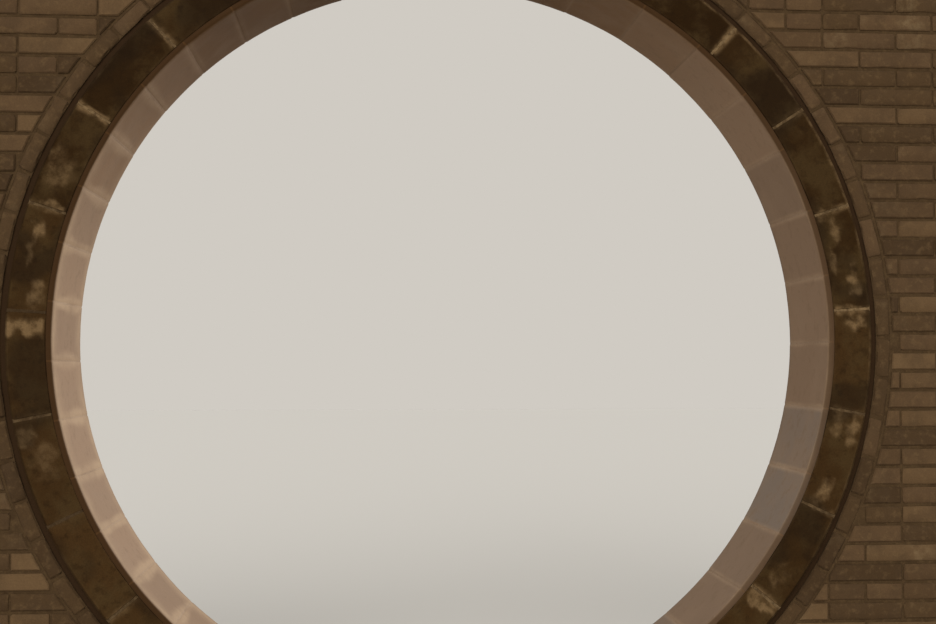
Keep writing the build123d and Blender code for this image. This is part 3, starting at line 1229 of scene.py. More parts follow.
@dataclass(frozen=True)
class LimeSmear:
    """A smear of lime mortar left on a ring stone.

    Attributes:
        angle: Its middle, in degrees counter-clockwise from the right as seen from the front.
        along: Half its size along the ring, and across half its size across it.
    """

    angle: float
    radius: float
    along: float
    across: float
    strength: float = 0.8

    def cover(self, angle: float, radius: float) -> float:
        """How thick the smear lies at a place on the ring.

        Args:
            angle: The place's angle in degrees.
            radius: Its distance from the doorway's axis.

        Returns:
            The thickness, from 0 to the smear's strength.
        """
        whole = (angle + 180) % 360 - 180 if self.angle < 90 else angle % 360
        far_along = abs(math.radians(whole - self.angle) * radius / self.along)
        far_across = abs((radius - self.radius) / self.across)
        return self.strength * clamp(1.6 - math.hypot(far_along, far_across) ** 1.5)


@dataclass(frozen=True)
class RingStone:
    """One stone of the ring.

    Attributes:
        low: The angle at which it starts, in degrees, and high the one at which it ends.
        limes: How pale the joints at its start and its end are.
        lean: How much deeper its end lies than its start.
        shift: How far it lies behind the ring's face.
    """

    low: float
    high: float
    limes: Flat
    tone: float
    lean: float
    shift: float


@dataclass
class StoneRing:
    """The ring of wedge-shaped hewn stones on a face of the wall.

    Attributes:
        first_joint: Angle of one radial joint, in degrees.
        outer_arris: How far the outer edge is worn back, and inner_arris the other edges.
        columns: Cells along a stone, and rows across it.
        band: How far lime mortar is smeared from a joint.
        rubbed: Width of the pale strip along the outer edge: lime, wear and a painted highlight.
        lit_angle: Where the strip's painted highlight is brightest, in degrees; away from it the outer rim
            gets painted shade.
        known_joints: How pale some joints of the front are, by their number.
    """

    sizes: GateSizes
    first_joint: float = 90.3
    count: int = 25
    joint: float = 0.008
    outer_arris: float = 0.009
    inner_arris: float = 0.0018
    columns: int = 34
    rows: int = 11
    thickness: float = 0.07
    band: float = 0.011
    rubbed: float = 0.014
    lit_angle: float = 22.0
    seed: int = 5
    known_joints: dict[int, float] = field(default_factory=lambda: {
        3: 0.50, 4: 0.75, 5: 0.40, 6: 0.10, 7: 0.30, 8: 0.15,
        16: 0.60, 17: 0.40, 18: 0.35, 19: 0.85, 20: 0.55,
    })
    smears: tuple[LimeSmear, ...] = tuple(LimeSmear(*values) for values in (
        (157.5, 1.330, 0.055, 0.045, 0.40), (155.5, 1.365, 0.050, 0.022, 0.35),
        (162.0, 1.310, 0.018, 0.045, 0.55), (165.5, 1.335, 0.035, 0.018, 0.62),
        (168.0, 1.348, 0.060, 0.008, 0.45), (174.5, 1.305, 0.045, 0.026, 0.55),
        (178.9, 1.332, 0.025, 0.100, 0.95), (193.5, 1.365, 0.034, 0.030, 0.55),
        (197.0, 1.320, 0.070, 0.040, 0.32), (-40.3, 1.330, 0.020, 0.080, 0.70),
        (-35.5, 1.325, 0.034, 0.030, 0.32), (-22.0, 1.330, 0.030, 0.018, 0.60),
        (-23.5, 1.310, 0.035, 0.014, 0.40), (-13.0, 1.360, 0.045, 0.020, 0.60),
        (-12.5, 1.305, 0.040, 0.022, 0.50), (1.8, 1.350, 0.022, 0.036, 0.70),
        (3.7, 1.330, 0.014, 0.060, 0.70), (7.2, 1.352, 0.030, 0.020, 0.85),
        (9.8, 1.350, 0.028, 0.010, 0.60), (11.5, 1.290, 0.045, 0.012, 0.45),
        (15.5, 1.318, 0.044, 0.016, 0.50), (18.5, 1.295, 0.030, 0.016, 0.55),
    ))

    def smears_on(self, wall_face: WallFace) -> Sequence[LimeSmear]:
        """The smears of a face.

        Args:
            wall_face: The face of the wall.

        Returns:
            The known ones in front, and as many at random on the back.
        """
        if wall_face is WallFace.FRONT:
            return self.smears
        dice = random.Random(self.seed)
        ranges = ((0, 360), (1.29, 1.38), (0.025, 0.045), (0.02, 0.045), (0.6, 0.9))
        return [LimeSmear(*(dice.uniform(*ends) for ends in ranges)) for _ in self.smears]

    def joint_lime(self, index: int, wall_face: WallFace) -> float:
        """How pale a joint is, from 0 to 1.

        Args:
            index: Its number, which may run on past a whole turn.
            wall_face: The face of the wall.

        Returns:
            The paleness.
        """
        number = index % self.count
        if wall_face is WallFace.FRONT and number in self.known_joints:
            return self.known_joints[number]
        return random.Random(f"{self.seed} {wall_face.name} {number}").uniform(0.1, 0.8)

    def build(self, wall_face: WallFace) -> None:
        """Builds all the stones of a face as one piece.

        Args:
            wall_face: The face of the wall.
        """
        dice = random.Random(self.seed + wall_face.value)
        smears = self.smears_on(wall_face)
        shape = Shape()
        pitch = 360 / self.count
        half_joint = math.degrees(self.joint / 2 / self.sizes.stone_outer)
        for index in range(self.count):
            start = self.first_joint + index * pitch
            # Stones towards the top are darker, as painted shade.
            unshaded_lowness = 0.5 - 0.5 * math.sin(math.radians(start + pitch / 2))
            limes = self.joint_lime(index, wall_face), self.joint_lime(index + 1, wall_face)
            stone = RingStone(
                start + half_joint, start + pitch - half_joint, limes,
                tone=0.36 * dice.random() + 0.64 * unshaded_lowness,
                lean=dice.uniform(-0.0015, 0.0015), shift=dice.uniform(0.0, 0.0015),
            )
            self.add_stone(shape, stone, wall_face, smears)
        node = f"ring_stones_{wall_face.name.lower()}"
        name = f"{node}_hewn"
        hand_over(name, [shape.dressed(name, HEWN_RING_STONE)], node)

    def add_stone(self, shape: Shape, stone: RingStone, wall_face: WallFace,
                  smears: Sequence[LimeSmear]) -> None:
        """Adds one stone between two radial joints.

        Args:
            shape: Takes the stone.
            stone: The stone's ends and character.
            wall_face: The face of the wall.
            smears: The smears of lime on this face.
        """
        inner, outer = self.sizes.lining_outer, self.sizes.stone_outer
        angles = edged_steps(stone.low, stone.high, math.degrees(self.inner_arris / outer), self.columns)
        radii = [
            inner, *steps(inner + self.inner_arris, outer - 1.4 * self.rubbed, self.rows),
            outer - self.rubbed, outer - self.outer_arris, outer - 0.35 * self.outer_arris, outer,
        ]
        grid = [[self.dot(angle, radius, stone, wall_face, smears) for radius in radii] for angle in angles]
        back = wall_face.value * (self.sizes.stone_face - self.thickness)
        shape.panel(grid, lambda place: (place[0], back, place[2]), flip=True)

    def dot(self, angle: float, radius: float, stone: RingStone, wall_face: WallFace,
            smears: Sequence[LimeSmear]) -> Dot:
        """A point of a stone's face with its relief and its marks.

        Args:
            angle: Its angle in degrees.
            radius: Its distance from the doorway's axis.
            stone: The stone's ends and character.
            wall_face: The face of the wall.
            smears: The smears of lime on this face.

        Returns:
            The point.
        """
        from_joint = math.radians(min(angle - stone.low, stone.high - angle)) * radius
        from_inner, from_outer = radius - self.sizes.lining_outer, self.sizes.stone_outer - radius
        turn = math.radians(angle)
        spot = Vector((radius * math.cos(turn), radius * math.sin(turn), wall_face.value * 3.0))
        share = (angle - stone.low) / (stone.high - stone.low)
        near_start = share < 0.5
        depth = 0.0030 + stone.shift + stone.lean * share
        depth += 0.0016 * noise.noise(spot * 26) + 0.0008 * noise.noise(spot * 75)
        depth += max(0.0, self.inner_arris - from_joint) + max(0.0, self.inner_arris - from_inner)
        depth += max(0.0, self.outer_arris - from_outer)
        edge_wobble = abs(0.0018 * noise.noise(spot * 40))
        if from_outer < 0.001:
            radius -= edge_wobble
        if from_joint < 0.001:
            angle += math.degrees(edge_wobble / radius) * (1 if near_start else -1)
        reach = self.band * (1 + 0.7 * noise.noise(spot * 12))
        lime = stone.limes[0 if near_start else 1] * clamp(1.4 - from_joint / reach)
        # How much the outer strip gets a painted highlight, most towards the upper right, where the outer
        # rim gets no painted shade.
        lit_side = max(0.0, math.cos(turn - math.radians(self.lit_angle))) ** 4
        pale = 0.06 + 0.50 * lit_side + 0.40 * noise.noise(spot * 1.7) + 0.3 * noise.noise(spot * 9)
        lime = max(lime, pale * clamp(2.2 - 2 * from_outer / self.rubbed))
        waved = angle + 1.3 * noise.noise(spot * 27), radius + 0.020 * noise.noise(spot * 33)
        lime = max(lime, *(smear.cover(*waved) for smear in smears))
        # The inner arris is kept free of lime, but a pale line on it is a painted highlight that lightens
        # its shading.
        lime = max(lime * clamp(from_inner / 0.008), 0.30 * (1 - from_inner / 0.003))
        # Dark blotches are soot; the outer rim away from the painted highlight gets painted shade.
        blotch = noise.noise(spot * 4.3) + 0.35 * noise.noise(spot * 13)
        soot_and_shade = min(0.5, max(0.0, 2.2 * blotch - 0.15))
        soot_and_shade = max(soot_and_shade, 0.45 * (1 - lit_side) * clamp(1.6 - from_outer / 0.005))
        place = self.sizes.on_ring(math.radians(angle), radius, depth - self.sizes.stone_face)
        return Dot(wall_face.place(place), stone.tone, min(lime, 1.0), soot_and_shade)


@dataclass
class Lining:
    """The rubbed slabs that line the doorway over the wall's full depth.

    Attributes:
        first_joint: Angle of the joint by the crown, in degrees.
        left_count: Slabs down the left side, and right_count down the right.
        arris: How far the front and back edges are worn back.
        soft: How far from a joint a slab is worn.
        columns: Cells along a slab's arc, and rows through the wall.
        grey_angle: Where the slabs are greyest and the painted shade of their front ends is lightest, in
            degrees.
        crown_shade_angle: Where the painted shade under the crown is darkest, in degrees.
    """

    sizes: GateSizes
    first_joint: float = 89.3
    left_count: int = 21
    right_count: int = 18
    joint: float = 0.006
    arris: float = 0.006
    soft: float = 0.003
    columns: int = 16
    rows: int = 22
    grey_angle: float = -35.0
    crown_shade_angle: float = 105.0
    seed: int = 9

    def joints(self) -> list[tuple[float, float]]:
        """Where the slabs lie, down the left side and then the right.

        Returns:
            Start and end angle of each slab, in degrees.
        """
        left, right = 180 / self.left_count, 180 / self.right_count
        starts = [(self.first_joint + index * left, left) for index in range(self.left_count)]
        starts += [(self.first_joint - (index + 1) * right, right) for index in range(self.right_count)]
        return [(start, start + pitch) for start, pitch in starts]

    def build(self) -> None:
        """Builds all the slabs as one piece."""
        dice = random.Random(self.seed)
        shape = Shape()
        for start, end in self.joints():
            self.slab(shape, start, end, dice)
        piece = shape.dressed("lining_slabs_rubbed", RUBBED_LINING_STONE)
        hand_over("lining_slabs_rubbed", [piece], "lining_slabs")

    def depths(self) -> list[float]:
        """Where the points of a slab lie through the wall.

        Returns:
            Their depths in Y, close together at the worn edges.
        """
        edge, reach = self.sizes.lining_edge, self.sizes.lining_edge - self.arris
        worn = [edge - 0.35 * self.arris, edge - 0.0004, edge]
        return [*(-depth for depth in reversed(worn)), *steps(-reach, reach, self.rows), *worn]

    def leftness(self, angle: float) -> float:
        """How near an angle is to the left side, from 0 to 1."""
        return 0.5 - 0.5 * math.cos(math.radians(angle))

    def greyness(self, angle: float) -> float:
        """How grey the slabs are at an angle, and how much lighter the painted shade of their ends is, from
        0 to 1.
        """
        return max(0.0, math.cos(math.radians(angle - self.grey_angle))) ** 2

    def crown_shade(self, angle: float) -> float:
        """How much painted shade an angle gets under the crown, from 0 to 1."""
        off = abs((angle - self.crown_shade_angle + 180.0) % 360.0 - 180.0)
        return max(0.0, math.cos(math.radians(min(1.25 * off, 90.0)))) ** 1.2

    def bled_lime(self, joint: float, y: float, from_joint: float) -> float:
        """How pale the surface is beside a joint: most at the left side, least under the crown.

        Args:
            joint: The joint's angle in degrees.
            y: The depth through the wall.
            from_joint: The distance from the joint.

        Returns:
            The paleness, which comes in patches along the joint.
        """
        leftness = self.leftness(joint)
        height = max(0.0, math.sin(math.radians(joint))) ** 2
        amount = (0.45 + 0.35 * leftness) * (1 - 0.7 * height) * (1 + 0.5 * waver(joint, 0.5, 0.5))
        spot = Vector((0.7 * joint, 5 * y, 4 * from_joint))
        reach = (0.006 + 0.016 * leftness) * (1.1 + 0.8 * noise.noise(spot))
        patches = 0.9 + 0.5 * noise.noise(spot * 1.3)
        return amount * patches * clamp(1.5 - from_joint / reach)

    def round_off(self, y: float) -> float:
        """How far the worn edge has pulled the surface back at a depth."""
        from_edge = self.sizes.lining_edge - abs(y)
        return self.arris * max(0.0, 1 - from_edge / self.arris) ** 2

    def dirt(self, angle: float, y: float) -> float:
        """How dark the dirt and the painted shade are.

        The worn edges are as dark as the ring, as dirt and as painted shade where the slabs' ends lie back
        behind the ring stones, less so at the lower right. Under the crown lies painted shade.

        Args:
            angle: The angle in degrees.
            y: The depth through the wall.

        Returns:
            The darkness, from 0 to 1.
        """
        from_edge = self.sizes.lining_edge - abs(y)
        # The front ends are darkened as dirt and as painted shade of their recess, lighter at the lower
        # right.
        at_edge = (1.0 - 0.25 * self.greyness(angle)) * clamp(1.25 - from_edge / self.arris)
        # Painted shade under the crown.
        crown = 0.68 * self.crown_shade(angle) * (1 + 0.2 * waver(0.12 * angle, 5.0 * y, 0.5))
        return min(1.0, max(at_edge, crown))

    def slab(self, shape: Shape, start: float, end: float, dice: random.Random) -> None:
        """Adds one slab, set a hair deeper or prouder than its neighbours and worn at its edges.

        Args:
            shape: Takes the slab.
            start: The angle of the joint at its start, in degrees.
            end: The angle of the joint at its end.
            dice: Chooses its shade and how it is set.
        """
        middle_angle, opening = (start + end) / 2, self.sizes.opening_radius
        # Greyer towards the lower right, and darker under the crown as painted shade.
        tone = 0.25 * dice.random() + 0.28 * (1 - self.greyness(middle_angle))
        tone += 0.47 * self.crown_shade(middle_angle)
        set_back = dice.uniform(0.0, 0.0009)
        tip = dice.uniform(-0.0007, 0.0007)
        half_joint = math.degrees(self.joint / 2 / opening)
        low, high = start + half_joint, end - half_joint
        grid = []
        for angle in edged_steps(low, high, math.degrees(self.soft / opening), self.columns):
            turn = math.radians(angle)
            share = (angle - low) / (high - low)
            nearest_joint = start if share < 0.5 else end
            from_joint = math.radians(min(angle - low, high - angle)) * opening
            leftness = self.leftness(angle)
            dots = []
            for y in self.depths():
                spot = Vector((math.cos(turn), y, math.sin(turn)))
                radius = opening + set_back + tip * (share - 0.5) + self.round_off(y)
                radius += 0.0005 + 0.0007 * noise.noise(spot * 9) + 0.0003 * noise.noise(spot * 40)
                radius += 0.0008 * max(0.0, 1 - from_joint / self.soft)
                # A pale strip along the front and back edges: lime with wear and a painted highlight, much
                # wider towards the left, fading into the painted shade under the crown.
                margin = 0.015 + 0.075 * leftness * (1 + 0.6 * noise.noise(spot * 5))
                rubbed = 0.35 + 0.25 * leftness + 0.4 * noise.noise(spot * 6)
                rubbed *= 1 - 0.9 * self.crown_shade(angle)
                rubbed *= clamp(1.25 - (self.sizes.lining_edge - abs(y)) / margin)
                lime = min(1.0, max(self.bled_lime(nearest_joint, y, from_joint), rubbed))
                dots.append(Dot(self.sizes.on_ring(turn, radius, y), tone, lime, self.dirt(angle, y)))
            grid.append(dots)
        shape.panel(grid, lambda place: self.sizes.at_radius(place, self.sizes.lining_outer - 0.0006))


def turned(sizes: GateSizes, half: Sequence[Flat], segments: int, grime: float = 0.0) -> Shape:
    """A profile turned once round the doorway's axis.

    Args:
        sizes: The gate's shared sizes.
        half: Radius and depth of the points of the profile's half at the back, from its
            inner side outwards. The front half mirrors it.
        segments: Steps round the ring.
        grime: How dirty it is, and in the groove how much shade is painted on it.

    Returns:
        The closed ring.
    """
    shape = Shape()
    profile = [*half, *((radius, -depth) for radius, depth in reversed(half))]
    loops = [
        shape.add([Dot(sizes.on_ring(angle, radius, depth), 0.5, 0.0, grime) for radius, depth in profile])
        for angle in steps(0.0, 2 * math.pi, segments)[:-1]
    ]
    for index in range(segments):
        shape.band(loops[index - 1], loops[index])
    return shape


@dataclass
class RingMortar:
    """Mortar in and behind the stone ring: the groove round it, darkened as dark mortar and painted shade,
    and the pale joints.

    Attributes:
        stones: The stone ring whose joints it fills, and lining the lining.
        groove_depth: How deep the groove's floor lies behind the wall's face.
        recess: How far the mortar between the stones lies behind their faces.
    """

    sizes: GateSizes
    stones: StoneRing
    lining: Lining
    groove_depth: float = 0.0135
    segments: int = 180
    cells: int = 10
    recess: float = 0.0055
    seed: int = 17

    def build(self) -> None:
        """Builds the mortar as one piece that stands for the ring's backing."""
        parts = [self.core(), self.stone_joints(), self.lining_joints()]
        hand_over("ring_mortar", parts, "ring_backing")

    def core(self) -> bpy.types.Object:
        """The annular body behind the stones with the floor of the groove.

        Returns:
            Its object.
        """
        floor, back = self.sizes.half_wall - self.groove_depth, self.sizes.stone_back
        inner, outer = self.sizes.lining_outer - 0.002, self.sizes.stone_outer - 0.002
        half = [(inner, back), (outer, back), (outer, floor), (self.sizes.groove_outer + 0.004, floor)]
        # The groove's floor is dark mortar darkened further as painted shade of the recess.
        return turned(self.sizes, half, self.segments, grime=0.95).dressed("groove", RAKED_MORTAR)

    def stone_joints(self) -> bpy.types.Object:
        """The tongues between the ring stones on both faces, each as pale as its joint.

        Returns:
            Their object.
        """
        shape = Shape()
        half = (self.stones.joint / 2 + 0.002) / self.sizes.stone_outer
        inner, outer = self.sizes.lining_outer + 0.001, self.sizes.stone_outer - 0.004
        face, back = self.sizes.stone_face - self.recess, self.sizes.stone_face - 0.06
        for wall_face, index in product(WallFace, range(self.stones.count)):
            pale = self.stones.joint_lime(index, wall_face)
            middle = math.radians(self.stones.first_joint + index * 360 / self.stones.count)
            grid = []
            for angle in (middle + half, middle, middle - half):
                dots = []
                for radius in steps(inner, outer, self.cells):
                    depth = face - 0.0016 * waver(angle * 90, radius * 60, wall_face.value)
                    place = wall_face.place(self.sizes.on_ring(angle, radius, -depth))
                    dots.append(Dot(place, pale, 0.1 + 0.8 * pale, 0.3 * (1 - pale)))
                grid.append(dots)
            shape.panel(grid, lambda place: (place[0], math.copysign(back, place[1]), place[2]))
        return shape.dressed("stone_joints", POINTED_MORTAR)

    def lining_joints(self) -> bpy.types.Object:
        """The tongues between the lining slabs, over the wall's depth.

        Returns:
            Their object.
        """
        shape = Shape()
        inner, outer = self.sizes.opening_radius + 0.0016, self.sizes.lining_outer - 0.0008
        half = math.degrees((self.lining.joint / 2 + 0.0016) / inner)
        dice = random.Random(self.seed)
        for start, _ in self.lining.joints():
            tone = dice.random()
            grid = []
            for angle in (start - half, start + half):
                dots = []
                for y in self.lining.depths():
                    radius = inner + 0.0004 * dice.random() + self.lining.round_off(y)
                    place = self.sizes.on_ring(math.radians(angle), radius, 0.998 * y)
                    lime = min(1.0, self.lining.bled_lime(start, y, 0.0))
                    # Dirt and painted shade as on the slabs beside it.
                    dots.append(Dot(place, tone, lime, self.lining.dirt(start, y)))
                grid.append(dots)
            shape.panel(grid, lambda place: self.sizes.at_radius(place, outer))
        return shape.dressed("lining_joints", RUBBED_POINTING)


@dataclass
class BrickRing:
    """The ring of header bricks laid along the circle, with raked mortar between them.

    Attributes:
        count: Bricks round the ring.
        gap: Width of a joint at the bricks' middle.
        rake: How far the mortar lies behind the wall's face.
        kinds: Kinds of bricks, and as many darker copies of them for painted shade.
        painted_shade_angle: The middle of the half of the ring that gets the darker copies as painted
            shade, in degrees.
    """

    sizes: GateSizes
    count: int = 68
    gap: float = 0.010
    rake: float = 0.009
    depth: float = 0.06
    arris: float = 0.006
    kinds: int = 4
    painted_shade_angle: float = 252.0
    segments: int = 136
    seed: int = 21

    def build(self) -> None:
        """Builds the bricks of both faces and their mortar as one piece."""
        inner, outer = self.sizes.groove_outer, self.sizes.bricks_outer
        middle, height = (inner + outer - 0.001) / 2, outer - 0.001 - inner
        length = 2 * math.pi * middle / self.count - self.gap
        # Each kind comes at its own tone and as a darker copy for painted shade.
        bricks = [
            FaceBrick(length, height, self.depth, self.arris, smear=0.05 * index, tone=tone,
                      seed=first + index).shape()
            for tone, first in ((0.5, 100), (0.34, 100 + self.kinds))
            for index in range(self.kinds)
        ]
        dice = random.Random(self.seed)
        spots = []
        for wall_face, index in product(WallFace, range(self.count)):
            angle = 2 * math.pi * (index + 0.5) / self.count + dice.uniform(-0.0012, 0.0012)
            depth = -self.sizes.half_wall + dice.uniform(0.0, 0.004)
            place = self.sizes.on_ring(angle, middle + dice.uniform(-0.0015, 0.0015), depth)
            # The lower left half of the ring gets the darker copies, as painted shade.
            in_painted_shade = math.cos(angle - math.radians(self.painted_shade_angle)) > 0
            pick = dice.randrange(self.kinds) + in_painted_shade * self.kinds
            spots.append(Spot(wall_face.place(place), pick, (0.0, math.pi / 2 - angle, wall_face.turn)))
        laying = Laying(sway=0.010, darkest=0.16, palest=0.5, seed=8)
        face = self.sizes.half_wall - self.rake
        mortar = turned(self.sizes, [(inner + 0.001, face), (outer + 0.002, face)], self.segments)
        parts = [
            mortar.dressed("header_mortar", RAKED_MORTAR),
            laying.lay("header_bricks", bricks, FIRED_BRICK, spots),
        ]
        hand_over("brick_ring_headers", parts, "brick_ring")


@dataclass
class Plinth:
    """The granite blocks at the foot of the wall, with the hollowed one under the doorway.

    Attributes:
        cradle_half: Half the length of the hollowed stone.
        blocks: Blocks on each side of it.
        chamfer: The bevel along the upper front and back edges.
        arris: How far the other edges are worn back.
    """

    sizes: GateSizes
    half_depth: float = 0.2025
    cradle_half: float = 0.600
    blocks: int = 3
    joint: float = 0.005
    chamfer: float = 0.012
    arris: float = 0.004
    seed: int = 31

    def build(self) -> None:
        """Builds the hollowed stone and the blocks and joints of both sides."""
        dice = random.Random(self.seed)
        cradle = Shape()
        self.block(cradle, -self.cradle_half, self.cradle_half, dice)
        self.finish(cradle, "cradle_stone")
        length = (self.sizes.half_length - self.cradle_half) / self.blocks
        depth = self.half_depth - 0.006
        for side in Side:
            shape = Shape()
            for index in range(self.blocks):
                near = self.cradle_half + index * length + self.joint
                far = self.cradle_half + (index + 1) * length
                self.block(shape, *sorted((side.value * near, side.value * far)), dice)
                low, high = sorted((side.value * (near + 0.004), side.value * (near - self.joint - 0.002)))
                top = self.sizes.wall_bottom - 0.014
                if index == 0:
                    top = self.sizes.centre - math.sqrt(self.sizes.bricks_outer ** 2 - near ** 2) - 0.004
                shape.box((low, -depth, 0.002), (high, depth, top), 0.5, 0.6)
            self.finish(shape, f"plinth_{side.name.lower()}")

    def finish(self, shape: Shape, node: str) -> None:
        """Hands over the blocks of a node as one piece."""
        name = f"{node}_hammered"
        hand_over(name, [shape.dressed(name, HAMMERED_GRANITE)], node)

    def block(self, shape: Shape, low: float, high: float, dice: random.Random) -> None:
        """Adds one block through the wall, cut round the brick ring and bevelled at its edges.

        Args:
            shape: Takes the block.
            low: Its left end.
            high: Its right end.
            dice: Chooses its shade and its wear.
        """
        tone = dice.random()
        top = self.sizes.wall_bottom - self.sizes.centre
        rect = (low, high, -self.sizes.centre, top)
        outline = cut_outside_circle(rect, self.sizes.bricks_outer, 0.02) or rectangle(*rect)
        outline = self.divided(outline)
        face_loop, side_loop = [], []
        for (x, up), (x_in, up_in) in zip(outline, inset(outline, self.arris)):
            at_top = up > top - 0.0001
            face_loop.append((x_in, up - self.chamfer if at_top else up_in, 0.0008 * dice.random()))
            side_loop.append((x, up, self.chamfer if at_top else self.arris))
        shape.sleeve([
            [
                Dot((x, sign * (self.half_depth - depth), self.sizes.centre + up), tone, 0.0,
                    self.splash(self.sizes.centre + up))
                for x, up, depth in loop
            ]
            for sign, loop in ((1, face_loop), (1, side_loop), (-1, side_loop), (-1, face_loop))
        ])

    def divided(self, outline: Sequence[Flat], step: float = 0.06) -> list[Flat]:
        """An outline with its long straight sides divided.

        Args:
            outline: The outline.
            step: About the length of a part.

        Returns:
            The points of the divided outline.
        """
        points: list[Flat] = []
        for start, end in sides(outline):
            count = max(1, round(math.dist(start, end) / step))
            points += list(zip(*(steps(start[axis], end[axis], count)[:-1] for axis in (0, 1))))
        return points

    def splash(self, height: float) -> float:
        """How much dirt the rain has splashed up to a height."""
        return 0.45 * max(0.0, 1 - height / 0.16)


@dataclass(frozen=True)
class CopingSizes:
    """Heights and depths of the eaves courses, the slopes and the ridge, in metres.

    Attributes:
        eaves_depth: How far the bed reaches from the wall's middle at the eaves.
        eaves_height: Height of the slopes' beds there.
        half_ridge: Half the ridge's depth.
        overhang: How far the tiles reach out past the bed, along the slope.
        barrel_radius: Half the width that a row of cover tiles takes.
        rows: Rows of cover tiles.
    """

    half_length: float
    eaves_depth: float
    eaves_height: float
    ridge_bottom: float
    ridge_top: float
    half_ridge: float = 0.060
    slope: float = math.radians(30.0)
    overhang: float = 0.075
    barrel_radius: float = 0.065
    rows: int = 22

    @classmethod
    def from_frame(cls) -> "CopingSizes":
        """Reads what it can from the boxes of the coping's nodes.

        Returns:
            The sizes.
        """
        bed_low, bed_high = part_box("roof_bed")
        _, ridge_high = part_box("ridge_wall")
        return cls(bed_high.x, bed_high.y, bed_low.z + 0.020, bed_high.z, ridge_high.z)

    @property
    def row_pitch(self) -> float:
        """Distance between two rows of cover tiles."""
        return 2 * (self.half_length - self.barrel_radius) / (self.rows - 1)

    @property
    def pan_half(self) -> float:
        """Half the width of a channel between two rows of cover tiles."""
        return self.row_pitch / 2 - self.barrel_radius - 0.0004

    def on_slope(self, x: float, up: float) -> Point:
        """The point of the front slope's bed at a distance up from the eaves' edge."""
        out, drop = ((self.overhang - up) * part(self.slope) for part in (math.cos, math.sin))
        return x, -self.eaves_depth - out, self.eaves_height - drop


@dataclass
class BlockCourse:
    """A course of bricks along the wall, flush with both faces and closed at both ends.

    Attributes:
        low: Height of the course's underside, and high of its top.
        half_depth: Half its depth through the wall.
        pitch: Length of a brick with its joint.
        shift: How far the joints are shifted along the wall.
        depth: How far a brick reaches in from the face; more than half_depth means through.
    """

    half_length: float
    low: float
    high: float
    half_depth: float
    pitch: float
    shift: float
    joint: float = 0.007
    depth: float = 0.115
    seed: int = 51
    kinds: int = 3

    def spans(self) -> list[tuple[float, float]]:
        """Start and end in X of each brick, with shorter ones at the ends.

        Returns:
            The spans, which leave half a joint at each side and a hair at the wall's ends.
        """
        ends = [-self.half_length]
        place = -self.half_length + (self.shift or self.pitch)
        while place < self.half_length - 0.3 * self.pitch:
            ends.append(place)
            place += self.pitch
        firsts = [-self.half_length + 0.0005, *(end + self.joint / 2 for end in ends[1:])]
        lasts = [*(end - self.joint / 2 for end in ends[1:]), self.half_length - 0.0005]
        return list(zip(firsts, lasts))

    def build(self, name: str, finish: Finish, mortar: Finish, rake: float) -> list[bpy.types.Object]:
        """Lays the bricks in one row or two, with mortar between them.

        Args:
            name: The course's name.
            finish: The bricks' finish.
            mortar: The mortar's finish.
            rake: How far the mortar is raked back from the faces.

        Returns:
            The mortar and the bricks.
        """
        middle = self.half_depth - self.depth / 2
        rows = [(-middle, self.depth), (middle, self.depth)]
        if self.depth >= self.half_depth:
            rows = [(0.0, 2 * self.half_depth)]
        bricks = [
            ((start + end) / 2, y, end - start, depth) for y, depth in rows for start, end in self.spans()
        ]
        between = 2 * (self.half_depth - self.depth) - 2 * self.joint
        if between > 0.04:
            bricks += [(end * (self.half_length - 0.0585), 0.0, 0.115, between) for end in (-1, 1)]
        dice = random.Random(self.seed)
        height, z = self.high - self.low - self.joint, (self.low + self.high) / 2
        blocks: list[Shape] = []
        first_of: dict[tuple[float, float], int] = {}
        spots = []
        for x, y, length, depth in bricks:
            size = (round(length, 4), round(depth, 4))
            if size not in first_of:
                first_of[size] = len(blocks)
                blocks += [
                    CornerBlock(length, depth, height, 0.004, dice.randrange(999)).shape()
                    for _ in range(self.kinds)
                ]
            spots.append(Spot((x, y, z), first_of[size] + dice.randrange(self.kinds)))
        reach, depth = self.half_length - rake, self.half_depth - rake
        bed = Shape().box((-reach, -depth, self.low), (reach, depth, self.high), 0.5, 0.2)
        return [
            bed.dressed(f"{name}_bed", mortar),
            Laying(sway=0.0015, seed=self.seed).lay(name, blocks, finish, spots),
        ]


